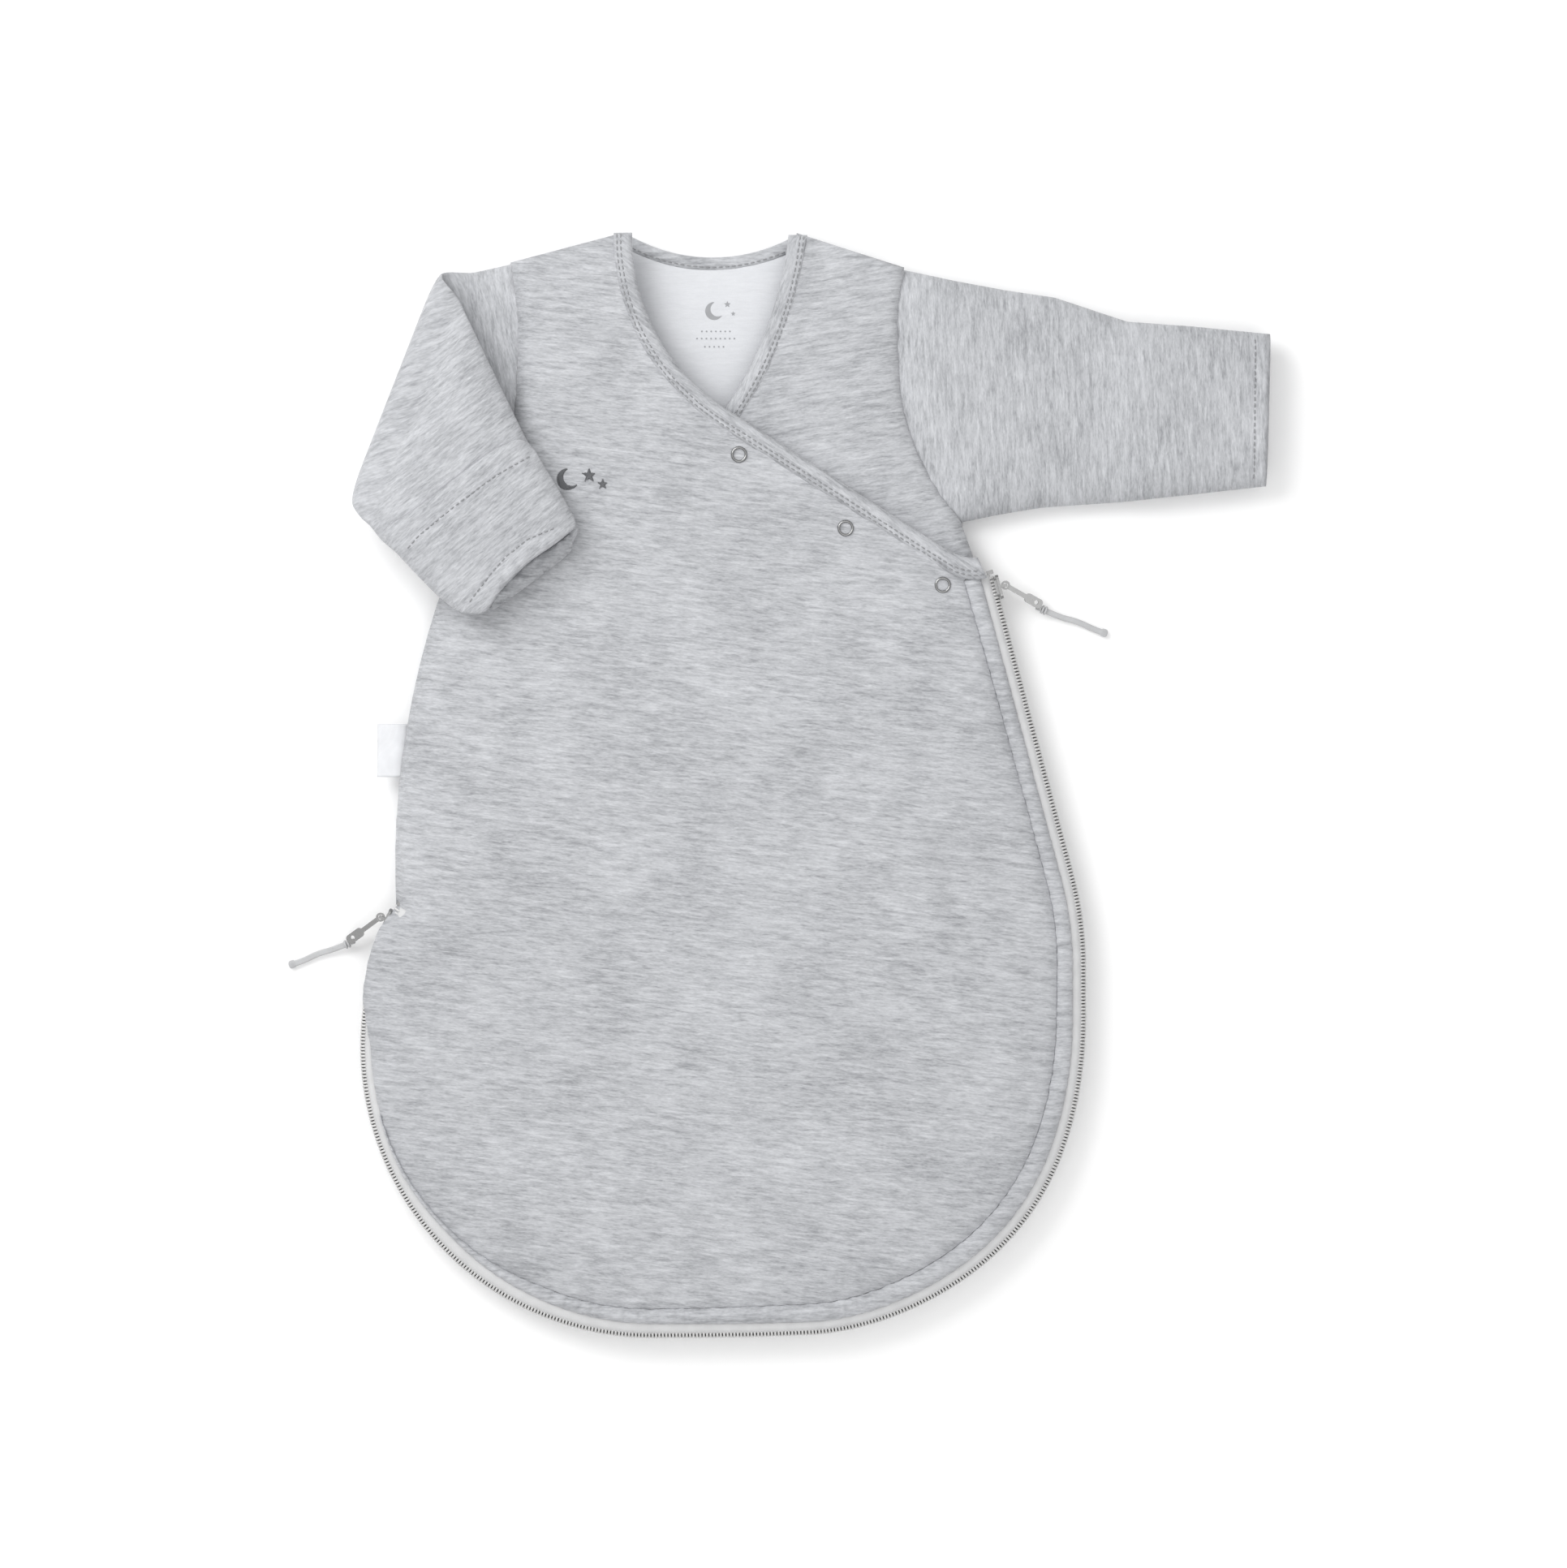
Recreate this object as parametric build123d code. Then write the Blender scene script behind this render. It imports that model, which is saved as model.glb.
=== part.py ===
# Padded baby sleeping bag lying flat: wrap neck, folding sleeves with mitts, and a zip round the hem.
# Millimetres. X runs across the bag, Y towards the neck, Z up from the surface that it lies on.
from build123d import *
import math
import os

os.makedirs("parts", exist_ok=True)

# Fabric layers
shell = 1.0
wadding = 5.0
lining = 0.6
sleeve_wadding = 3.5
cavity = 5.0            # height left for the child under the under wrap when the bag lies flat
wrap_gap = 0.4          # between the two layers of the wrap
rest_gap = 0.8          # between a folded sleeve and the front
fold_gap = 0.4          # between two fabrics that fold apart
mitt_thick = 2.6
mitt_gap = 0.3

# Outline of the bag
half_width = 187.0      # right side at its widest
left_width = 186.0
hem_y = -285.0
side_lean = 15.0        # degrees that the right side leans in towards the armpit
upper_side_radius = 190.0
upper_side_y = -95.0
lower_side_radius = 225.0
lower_side_y = -120.0
right_corner_radius = 137.6
left_corner_radius = 150.0
zip_straight = 159.0    # straight stretch of the zip, from the hip to its top
zip_end_angle = 151.0   # where the zip ends on the left corner's circle
shoulder_left = (-108.3, 267.0)
shoulder_right = (92.5, 264.2)
neck_left = (-47.5, 282.0)
neck_right = (36.5, 281.5)
neck_dip = 270.8        # lowest point of the back neck
armpit_left = (-130.0, 134.0)
armpit_right = (122.5, 134.0)

# Wrap neck
wrap_edge_x = -46.0
wrap_radius = 105.0
wrap_centre_y = 279.9
wrap_end_share = 0.13595 # where the wrap's edge ends, from the zip's top to the armpit
under_radius = 193.0
under_centre = (-157.8, 301.5)
under_low_angle = -52.0 # where the under wrap's edge ends, hidden below the wrap
binding_width = 9.5
back_binding_width = 7.0
binding_rise = 0.4      # of the wrap's binding over the panel beside it

# Flap of the wrap
flap_length = 118.0
flap_corner = (-24.0, 160.0)
flap_angle = 23.8
flap_depth = 70.0

# Zip
coil_reach = 3.2        # width of the coil across the bag's edge
coil_height = 2.0
coil_slit = 1.2
tape = 0.8
tape_edge = -7.5        # fabric ends and the tape shows from here out
tape_root = -12.0
wadding_edge = -12.6
border_edge = -16.0     # seam between the border strip and the panel
stop_length = 2.0

# Slider
slider_length = 12.5
slider_height = 10.2
slider_plate = 1.4
slider_corner = 2.4
inner_plate_cut = 1.5   # how much shorter the inner plate is
web_cut = 3.0
rail_cut = 5.0
rail_width = 1.2
rail_height = 0.9
joint_lap = 0.2         # how far the slider's pieces run into each other
bar_over_eye = 1.2      # room on each side of the pull's eye
running = 0.35          # clearance all round the coil
web = 0.6
bail_reach = 4.4
bail_bar = 0.8
eye_inner = 1.3
eye_outer = 2.3
eye_height = 2.4
tab_length = 23.0
tab_width = 5.0
tab_thick = 1.2
tab_drop = 8.0
tab_neck = 2.4          # width of the tab's narrow part
tab_end = 10.0          # length of its wide end
tab_corner = 1.8
tab_hole = 1.2
tab_hole_in = 3.4       # from the wide end to the cord's hole
cord_diameter = 3.0
corner_share = 0.45     # of a cord's shorter run that each of its corners takes up

# Sleeves
sleeve_cavity = 6.0
right_crease_x = 208.3
right_cuff_top = (281.5, 230.5)
right_cuff_low = (279.0, 152.5)
left_crease_top = (-140.4, 259.2)
left_crease_low = (-185.4, 143.8)
left_cuff_top = (-72.5, 130.5)
left_cuff_low = (-134.0, 86.5)
mitt_length = 60.0

# Snaps
snap_places = [(8.75, 168.3), (63.3, 130.6), (113.0, 101.5)]
ring_outer = 4.25
ring_inner = 2.9
ring_height = 1.0
prong_count = 5
prong_circle = 3.4
prong_radius = 0.35
prong_clearance = 0.15
stud_radius = 1.8
stud_height = 1.6
stud_clearance = 0.8
socket_height = 2.0
flange_height = 0.8
back_ring_height = 0.5

# Levels
panel = shell + wadding + lining
back_top = panel
under_low = back_top + cavity
under_top = under_low + panel
front_low = under_top + wrap_gap
front_top = front_low + panel
sleeve_wall = shell + sleeve_wadding + lining
sleeve_height = 2 * sleeve_wall + sleeve_cavity
back_flange = back_top - lining - tape
front_flange = front_low + lining
middle = (back_top - lining + front_flange) / 2
folded_low = front_top + rest_gap
forearm_low = mitt_thick + mitt_gap
tall = 80.0             # past the top and bottom of everything
outside = 2.0           # past the bag's outermost line


def at(centre, radius, degrees):
    a = math.radians(degrees)
    return (centre[0] + radius * math.cos(a), centre[1] + radius * math.sin(a))


def bow(centre, radius, start, end):
    """Arc about a centre between two angles."""
    return ThreePointArc(*(at(centre, radius, a) for a in (start, (start + end) / 2, end)))


def along_line(p, q, share):
    return (p[0] + (q[0] - p[0]) * share, p[1] + (q[1] - p[1]) * share)


def plate(edges, low, high):
    """Flat piece from a closed outline, between two levels."""
    return extrude(Pos(0, 0, low) * make_face(edges), amount=high - low, dir=(0, 0, 1))


def polygon(points, low=-tall, high=tall):
    return plate(Polyline(*points, close=True).edges(), low, high)


def disc(place, radius, low, high):
    return Pos(place[0], place[1], (low + high) / 2) * Cylinder(radius, high - low)


def save(name, piece):
    solids = piece.solids()
    export_step(Compound(children=list(solids)) if len(solids) > 1 else solids[0], f"parts/{name}.step")


# Path of the zip. An offset of 0 is the bag's outermost line, and less than 0 is inside it.
upper_centre = (half_width - upper_side_radius, upper_side_y)
lower_centre = (half_width - lower_side_radius, lower_side_y)
corner_y = hem_y + right_corner_radius
corner_reach = lower_side_radius - right_corner_radius
right_corner = (lower_centre[0] + math.sqrt(corner_reach**2 - (lower_side_y - corner_y) ** 2), corner_y)
corner_angle = math.degrees(math.atan2(corner_y - lower_side_y, right_corner[0] - lower_centre[0]))
left_corner = (left_corner_radius - left_width, hem_y + left_corner_radius)
along = (-math.sin(math.radians(side_lean)), math.cos(math.radians(side_lean)))


def zip_top(offset):
    x, y = at(upper_centre, upper_side_radius + offset, side_lean)
    return (x + along[0] * zip_straight, y + along[1] * zip_straight)


def zip_end(offset, angle=zip_end_angle):
    return at(left_corner, left_corner_radius + offset, angle)


def zip_path(offset):
    """Edges from the zip's top on the right, round the hem, to its end on the left."""
    lower = lower_side_radius + offset
    return [
        Line(zip_top(offset), at(upper_centre, upper_side_radius + offset, side_lean)),
        bow(upper_centre, upper_side_radius + offset, side_lean, 0),
        Line((half_width + offset, upper_side_y), (half_width + offset, lower_side_y)),
        bow(lower_centre, lower, 0, corner_angle),
        bow(right_corner, right_corner_radius + offset, corner_angle, -90),
        Line((right_corner[0], hem_y - offset), (left_corner[0], hem_y - offset)),
        bow(left_corner, left_corner_radius + offset, -90, zip_end_angle - 360),
    ]


def zip_band(inner, outer, low, high):
    """Strip that follows the zip between two offsets."""
    ends = [Line(zip_top(inner), zip_top(outer)), Line(zip_end(inner), zip_end(outer))]
    return plate(zip_path(inner) + zip_path(outer) + ends, low, high)


# Outlines of the panels
side_corner = zip_end(0)
side_foot = zip_top(tape_edge)
left_side = ThreePointArc(side_corner, (-160.5, 35.0), armpit_left)
left_armhole = [
    ThreePointArc(armpit_left, (-112.0, 166.0), (-105.3, 208.0)),
    ThreePointArc((-105.3, 208.0), (-105.0, 238.0), shoulder_left),
]
right_armhole = [
    ThreePointArc(armpit_right, (100.0, 168.0), (89.8, 215.0)),
    ThreePointArc((89.8, 215.0), (89.5, 240.0), shoulder_right),
]


def left_edges(offset):
    """From the zip's end up the left side to the neck."""
    edges = [left_side] + left_armhole + [Line(shoulder_left, neck_left)]
    return edges + ([Line(zip_end(offset), side_corner)] if offset else [])


def back_outline(offset):
    right = right_armhole + [Line(shoulder_right, neck_right), Line(side_foot, armpit_right)]
    neck = ThreePointArc(neck_left, ((neck_left[0] + neck_right[0]) / 2, neck_dip), neck_right)
    joint = [Line(zip_top(offset), side_foot)] if offset != tape_edge else []
    return [neck] + right + joint + zip_path(offset) + left_edges(offset)


wrap_centre = (wrap_edge_x + wrap_radius, wrap_centre_y)
wrap_end = along_line(side_foot, armpit_right, wrap_end_share)
end_run = math.hypot(wrap_end[0] - wrap_centre[0], wrap_end[1] - wrap_centre[1])
end_angle = math.degrees(math.atan2(wrap_end[1] - wrap_centre[1], wrap_end[0] - wrap_centre[0]))
wrap_slope = -90 - end_angle + math.degrees(math.acos(wrap_radius / end_run))   # degrees that it falls
fall = math.radians(wrap_slope)


def wrap_edge(inset):
    """The wrap's neck edge, moved in from the opening by inset: its top, its arc's foot and its far end."""
    radius = wrap_radius + inset
    top = (wrap_centre[0] - math.sqrt(radius**2 - (neck_left[1] - wrap_centre_y) ** 2), neck_left[1])
    foot = at(wrap_centre, radius, 270 - wrap_slope)
    lean = (side_foot[0] - armpit_right[0]) / (side_foot[1] - armpit_right[1])
    slope = math.tan(fall)
    y = (foot[1] + slope * (foot[0] - armpit_right[0] + lean * armpit_right[1])) / (1 + slope * lean)
    end = (foot[0] + (foot[1] - y) / slope, y)
    return top, foot, end


def wrap_line(inset):
    top, foot, end = wrap_edge(inset)
    start = math.degrees(math.atan2(top[1] - wrap_centre_y, top[0] - wrap_centre[0])) % 360
    return [bow(wrap_centre, wrap_radius + inset, start, 270 - wrap_slope), Line(foot, end)]


def front_outline(offset):
    top, _, end = wrap_edge(0)
    edges = wrap_line(0) + [Line(end, side_foot), Line(neck_left, top)]
    joint = [Line(zip_top(offset), side_foot)] if offset != tape_edge else []
    return edges + joint + zip_path(offset) + left_edges(offset)


def under_line(inset):
    radius = under_radius + inset
    start = math.degrees(math.asin((neck_right[1] - under_centre[1]) / radius))
    return bow(under_centre, radius, start, under_low_angle)


def under_outline(inset):
    edge = under_line(inset)
    low = edge @ 1
    side = [Line(side_foot, armpit_right)] + right_armhole
    shoulder = Line(shoulder_right, edge @ 0)
    foot = [Line((low.X, low.Y), zip_top(border_edge)), Line(zip_top(border_edge), side_foot)]
    return [edge, shoulder] + foot + side


def rim(edges, low, high):
    """Wall of one fabric's thickness just inside a closed outline."""
    whole = make_face(edges)
    inner = offset(whole, amount=-shell, kind=Kind.INTERSECTION)
    return extrude(Pos(0, 0, low) * (whole - inner), amount=high - low, dir=(0, 0, 1))


def beside(point, dx, dy):
    return (point[0] + dx, point[1] + dy)


# Where the side walls of the panels stand, clear of the zip's ends, the sleeves and the necks
far = 150.0
left_region = polygon([
    beside(side_corner, -far, 3.8), beside(side_corner, 27, 3.8), beside(armpit_left, 30, -14),
    beside(armpit_left, 30, 6), beside(armpit_left, 8, 7), beside(armpit_left, -far, 7),
])
left_shoulder = polygon([
    beside(shoulder_left, -2.2, -8), beside(shoulder_left, 4.3, -8), beside(neck_left, -2.5, -6),
    beside(neck_left, -2.5, 18), beside(shoulder_left, -2.2, 33),
])
left_arm = polygon([
    beside(armpit_left, -10, 0.5), beside(armpit_left, 34, 0.5), beside(shoulder_left, 12.3, -5),
    beside(shoulder_left, -3.7, 3), beside(armpit_left, -10, 66),
])
right_region = polygon([
    beside(armpit_right, -4.5, 6), beside(side_foot, -11.6, 0.5), beside(side_foot, 18, 0.5),
    beside(armpit_right, 27.5, 6),
])
right_shoulder = polygon([
    beside(shoulder_right, 2, -9.2), beside(shoulder_right, -4.5, -4.7), beside(neck_right, 1.5, -6.5),
    beside(neck_right, 1.5, 18.5), beside(shoulder_right, 2, 35.8),
])

flap_along = (math.cos(math.radians(flap_angle)), -math.sin(math.radians(flap_angle)))
flap_across = (-flap_along[1], flap_along[0])


def flap_box(grow, low=-tall, high=tall):
    """Region of the flap, grown by a gap on its fold line and two sides."""
    def corner(s, t):
        return (
            flap_corner[0] + flap_along[0] * s + flap_across[0] * t,
            flap_corner[1] + flap_along[1] * s + flap_across[1] * t,
        )
    end = flap_length + grow
    corners = [corner(-grow, -grow), corner(end, -grow), corner(end, flap_depth), corner(-grow, flap_depth)]
    return polygon(corners, low, high)


def snap_holes(places, radius, low, high):
    return Part() + [disc(p, radius, low, high) for p in places]


def prong_spots(place):
    return [at(place, prong_circle, 90 + 360 / prong_count * i) for i in range(prong_count)]


def prong_holes(places, low, high):
    radius = prong_radius + prong_clearance
    return Part() + [disc(s, radius, low, high) for p in places for s in prong_spots(p)]


# Back panel
zip_margin = zip_band(tape_root - fold_gap, outside, -tall, tall)
left_walls = left_region + left_shoulder
right_walls = right_region + right_shoulder
back_low_wall = rim(back_outline(tape_edge), shell, middle) & left_walls
back_low_wall += rim(back_outline(tape_edge), shell, under_low) & right_walls


def back_neck_arc(drop):
    mid = ((neck_left[0] + neck_right[0]) / 2, neck_dip - drop)
    return ThreePointArc((neck_left[0], neck_left[1] - drop), mid, (neck_right[0], neck_right[1] - drop))


def back_neck_band(low, high):
    arcs = [back_neck_arc(0), back_neck_arc(back_binding_width)]
    ends = [Line(a @ 0, b @ 0) for a, b in [arcs]] + [Line(a @ 1, b @ 1) for a, b in [arcs]]
    return plate(arcs + ends, low, high)


back_cut = back_neck_band(-tall, tall)
back_shell = plate(back_outline(border_edge), 0, shell) + back_low_wall - back_cut
back_wadding = plate(back_outline(wadding_edge), shell, shell + wadding) - back_low_wall - back_cut
back_lining = plate(back_outline(border_edge), back_top - lining, back_top) - back_low_wall - back_cut
save("back_shell", back_shell)
save("back_wadding", back_wadding)
save("back_lining", back_lining)
save("back_neck_binding", back_neck_band(0, back_top + binding_rise * 2))

# Front panel and its flap
front_wall = rim(front_outline(tape_edge), middle, front_top - shell)
arm_wall = rim(front_outline(tape_edge), sleeve_height, front_top - shell) & left_arm
front_wall = (front_wall & left_walls) + arm_wall


def wrap_band(low, high):
    """Binding along the wrap's edge."""
    outer, inner = wrap_edge(0), wrap_edge(binding_width)
    ends = [Line(outer[0], inner[0]), Line(outer[2], inner[2])]
    return plate(wrap_line(0) + wrap_line(binding_width) + ends, low, high)


binding_cut = wrap_band(-tall, tall)
flap_snaps = snap_places[:2]
front_snaps = snap_places[2:]
prong_low = front_low + socket_height
socket_radius = ring_outer + prong_clearance


def front_layer(edge_offset, low, high, region):
    """One layer of the front panel, in the flap or in the rest of it."""
    piece = plate(front_outline(edge_offset), low, high) - binding_cut
    if region == "flap":
        return piece & flap_box(0)
    return piece - flap_box(fold_gap)


for region, places, prefix in [("flap", flap_snaps, "flap"), ("rest", front_snaps, "front")]:
    outer = front_layer(border_edge, front_top - shell, front_top, region)
    filling = front_layer(wadding_edge, front_low + lining, front_top - shell, region)
    inside = front_layer(border_edge, front_low, front_low + lining, region)
    if region == "rest":
        outer = outer + (front_wall - binding_cut)
        filling = filling - front_wall
        inside = inside - front_wall
    save(f"{prefix}_shell", outer - prong_holes(places, -tall, tall))
    pocket = snap_holes(places, socket_radius, -tall, prong_low + prong_clearance)
    save(f"{prefix}_wadding", filling - prong_holes(places, -tall, tall) - pocket)
    save(f"{prefix}_lining", inside - pocket)
tape_room = zip_band(tape_root, outside, front_flange, front_flange + tape)
whole_binding = wrap_band(front_low, front_top + binding_rise) - tape_room
save("flap_binding", whole_binding & flap_box(0))
save("wrap_neck_binding", whole_binding - flap_box(fold_gap))


# Under wrap
def under_band(low, high):
    outer, inner = under_line(0), under_line(binding_width)
    return plate([outer, inner, Line(outer @ 0, inner @ 0), Line(outer @ 1, inner @ 1)], low, high)


under_cut = under_band(-tall, tall)
under_prongs = prong_holes(snap_places, -tall, tall)
flange_pocket = snap_holes(snap_places, ring_outer + prong_clearance, under_top - flange_height, tall)
under_cuts = under_cut + under_prongs + flange_pocket
save("under_wrap_shell", plate(under_outline(0), under_top - shell, under_top) - under_cuts)
under_filling = plate(under_outline(0), under_low + lining, under_top - shell) - zip_margin
save("under_wrap_wadding", under_filling - under_cuts)
save("under_wrap_lining", plate(under_outline(0), under_low, under_low + lining) - under_cuts)
save("under_wrap_binding", under_band(under_low, under_top))

# Snaps: cap with prongs above the wrap, socket below it, stud on the under wrap, and a prong ring behind it


def ring(place, inner, outer, low, high):
    return disc(place, outer, low, high) - disc(place, inner, low, high)


def prongs(place, low, high):
    return Part() + [disc(s, prong_radius, low, high) for s in prong_spots(place)]


def snap_cap(place):
    cap = ring(place, ring_inner, ring_outer, front_top, front_top + ring_height)
    return cap + prongs(place, prong_low, front_top)


def snap_socket(place):
    return ring(place, stud_radius + stud_clearance, ring_outer, front_low, prong_low)


def snap_stud(place):
    flange = disc(place, ring_outer, under_top - flange_height, under_top)
    return flange + disc(place, stud_radius, under_top, under_top + stud_height)


def snap_back(place):
    low = under_low - back_ring_height
    base = ring(place, ring_inner, ring_outer, low, under_low)
    return base + prongs(place, under_low, under_top - flange_height)


save("flap_snap_caps", Part() + [snap_cap(p) for p in flap_snaps])
save("flap_snap_sockets", Part() + [snap_socket(p) for p in flap_snaps])
save("front_snap_cap", snap_cap(front_snaps[0]))
save("front_snap_socket", snap_socket(front_snaps[0]))
save("snap_studs", Part() + [snap_stud(p) for p in snap_places])
save("stud_prong_rings", Part() + [snap_back(p) for p in snap_places])

# Zip
front_coil_low = middle + coil_slit / 2
back_coil_high = middle - coil_slit / 2
front_tape = zip_band(tape_root, tape - coil_reach, front_flange, front_flange + tape)
front_tape += zip_band(-coil_reach, tape - coil_reach, front_coil_low + coil_height, front_flange)
back_tape = zip_band(tape_root, tape - coil_reach, back_flange, back_flange + tape)
back_tape += zip_band(-coil_reach, tape - coil_reach, back_flange + tape, back_coil_high - coil_height)
save("front_zip_tape", front_tape)
save("back_zip_tape", back_tape)
save("front_zip_coil", zip_band(-coil_reach, 0, front_coil_low, front_coil_low + coil_height))
save("back_zip_coil", zip_band(-coil_reach, 0, back_coil_high - coil_height, back_coil_high))
front_border = zip_band(border_edge, tape_edge, front_top - shell, front_top)
front_border += zip_band(tape_edge - shell, tape_edge, front_flange + tape, front_top - shell)
save("front_zip_border", front_border - front_wall - flap_box(fold_gap) - binding_cut)
back_border = zip_band(border_edge, tape_edge, 0, shell)
back_border += zip_band(tape_edge - shell, tape_edge, shell, back_flange)
save("back_zip_border", back_border - back_low_wall)
stop_angle = math.degrees(stop_length / left_corner_radius)


def stop_at_top():
    low, high = zip_top(-coil_reach), zip_top(0)
    up = (along[0] * stop_length, along[1] * stop_length)
    points = [low, high, (high[0] + up[0], high[1] + up[1]), (low[0] + up[0], low[1] + up[1])]
    return polygon(points, back_coil_high - coil_height, front_coil_low + coil_height)


def stop_at_end():
    low, high = back_coil_high - coil_height, front_coil_low + coil_height
    ends = zip_end_angle - stop_angle
    points = [zip_end(-coil_reach), zip_end(0), zip_end(0, ends), zip_end(-coil_reach, ends)]
    return polygon(points, low, high)


save("zip_stops", Part() + [stop_at_top(), stop_at_end()])


# Sliders, modelled at the origin: X out of the bag, Y along the zip, Z up, with the zip's outer line at X = 0
def slider_body():
    outer = Pos(running + slider_plate / 2, 0, 0) * Box(slider_plate, slider_length, slider_height)
    outer = fillet(outer.edges().filter_by(Axis.X), slider_corner)
    inner_x = -coil_reach - running - slider_plate / 2
    inner = Pos(inner_x, 0, 0) * Box(slider_plate, slider_length - inner_plate_cut, slider_height)
    inner = fillet(inner.edges().filter_by(Axis.X), slider_corner)
    span = coil_reach + 2 * (running + joint_lap)
    middle_web = Pos(-coil_reach / 2, 0, 0) * Box(span, slider_length - web_cut, web)
    rail = coil_slit / 2 + coil_height + running + rail_height / 2
    rail_size = (rail_width + running, slider_length - rail_cut, rail_height)
    rails = Part() + [
        Pos((running - rail_width) / 2, 0, side * rail) * Box(*rail_size) for side in (1, -1)
    ]
    bar_half = eye_height / 2 + bar_over_eye
    bar = Pos(bail_reach, 0, 0) * Cylinder(bail_bar, 2 * (bar_half + bail_bar))
    foot = running + slider_plate - joint_lap
    arm = bail_reach + bail_bar - foot
    arms = Part() + [
        Pos(foot + arm / 2, 0, side * (bar_half + bail_bar / 2)) * Box(arm, 2 * bail_bar, bail_bar)
        for side in (1, -1)
    ]
    return outer + inner + middle_web + rails + bar + arms


def pull_tab():
    """Eye round the bail's bar, and a tab that falls away from it along X."""
    eye = Cylinder(eye_outer, eye_height) - Cylinder(eye_inner, eye_height)
    tilt = math.degrees(math.asin(tab_drop / tab_length))
    run = tab_length - eye_outer
    narrow = Box(run, tab_neck, tab_thick)
    wide = Pos((run - tab_end) / 2, 0, 0) * Box(tab_end, tab_width, tab_thick)
    wide = fillet(wide.edges().filter_by(Axis.Z), tab_corner)
    hole = Pos(run / 2 - tab_hole_in, 0, 0) * Cylinder(tab_hole, tab_width)
    start = eye_outer - 2 * joint_lap
    centre = (start + run / 2 * math.cos(math.radians(tilt)), 0, -run / 2 * math.sin(math.radians(tilt)))
    blade = Location(centre, (0, tilt, 0)) * (narrow + wide - hole)
    return eye + (blade - Cylinder(eye_inner, tab_length))


def place_slider(point, heading):
    return Location((point[0], point[1], middle), (0, 0, heading))


def tab_pivot(point, heading):
    return at(point, bail_reach, heading)


def cord_tube(route):
    runs = [Vector(*a) for a in route]
    lengths = [(b - a).length for a, b in zip(runs, runs[1:])]
    radii = []
    for i in range(1, len(runs) - 1):
        turn = (runs[i] - runs[i - 1]).get_angle(runs[i + 1] - runs[i])
        shorter = min(lengths[i - 1], lengths[i])
        radii.append(corner_share * shorter / math.tan(math.radians(turn) / 2))
    path = FilletPolyline(*route, radius=radii)
    start = Plane(origin=path @ 0, z_dir=path % 0)
    return sweep(start * Circle(cord_diameter / 2), path=path)


slider_from_top = slider_length / 2 + 1.2
top_point = zip_top(0)
top_slider_at = (top_point[0] - along[0] * slider_from_top, top_point[1] - along[1] * slider_from_top)
top_pull_heading = -28.4
lower_heading = zip_end_angle + 3.6
lower_slider_at = zip_end(0, lower_heading)
lower_pull_heading = 216.0
save("top_slider", place_slider(top_slider_at, side_lean) * slider_body())
save("lower_slider", place_slider(lower_slider_at, lower_heading) * slider_body())
top_pivot = tab_pivot(top_slider_at, side_lean)
lower_pivot = tab_pivot(lower_slider_at, lower_heading)
save("top_pull_tab", place_slider(top_pivot, top_pull_heading) * pull_tab())
save("lower_pull_tab", place_slider(lower_pivot, lower_pull_heading) * pull_tab())

# Pull cords: routes chosen by hand for tabs that turn about these places, and carried along with the tabs
top_route_pivot = (145.552, 101.7)
lower_route_pivot = (-175.475, -68.772)


def carried(route, drawn, pivot):
    return [(x + pivot[0] - drawn[0], y + pivot[1] - drawn[1], z) for x, y, z in route]


top_cord_route = [
    (164.6, 89.6, 3.6), (173.5, 85.6, 2.4), (183.0, 83.4, 1.8), (191.5, 79.2, 1.6), (197.0, 77.4, 1.6),
]
lower_cord_route = [
    (-192.2, -82.3, 3.5), (-200.0, -85.6, 2.4), (-208.6, -87.8, 1.8), (-216.8, -92.0, 1.6),
    (-222.0, -93.4, 1.6),
]
save("top_pull_cord", cord_tube(carried(top_cord_route, top_route_pivot, top_pivot)))
save("lower_pull_cord", cord_tube(carried(lower_cord_route, lower_route_pivot, lower_pivot)))


# Sleeves: flat tubes, open at both ends
def tube_layer(outline, low, clip, depth, thick):
    """One layer of a flat sleeve: its outer face lies depth inside the outline."""
    whole = make_face(outline)

    def body(inset):
        face = offset(whole, amount=-inset, kind=Kind.INTERSECTION) if inset else whole
        return extrude(Pos(0, 0, low + inset) * face, amount=sleeve_height - 2 * inset, dir=(0, 0, 1))

    return (body(depth) - body(depth + thick)) & clip


def save_sleeve(name, outline, low, clip):
    layers = [("shell", 0, shell), ("wadding", shell, sleeve_wadding)]
    layers += [("lining", shell + sleeve_wadding, lining)]
    for layer, depth, thick in layers:
        save(f"{name}_{layer}", tube_layer(outline, low, clip, depth, thick))


right_top_bend = (right_crease_x, 237.3)
right_low_bend = (right_crease_x, 144.7)
right_inside_top = (70.0, 271.3)
right_inside_low = (95.0, 128.0)
right_cuff_out_top = along_line(right_top_bend, right_cuff_top, 1.4)
right_cuff_out_low = along_line(right_low_bend, right_cuff_low, 1.4)
right_outline = [
    Line(right_inside_top, (120.0, 258.3)),
    ThreePointArc((120.0, 258.3), (171.0, 249.8), right_top_bend),
    Line(right_top_bend, right_cuff_out_top),
    Line(right_cuff_out_top, right_cuff_out_low),
    Line(right_cuff_out_low, right_low_bend),
    ThreePointArc(right_low_bend, (164.6, 141.7), armpit_right),
    Line(armpit_right, right_inside_low),
    Line(right_inside_low, right_inside_top),
]
left_fold = (left_crease_low[0] - left_crease_top[0], left_crease_low[1] - left_crease_top[1])
fold_size = math.hypot(*left_fold)
fold_way = (left_fold[0] / fold_size, left_fold[1] / fold_size)
fold_out = (fold_way[1], -fold_way[0])    # away from the body


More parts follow.
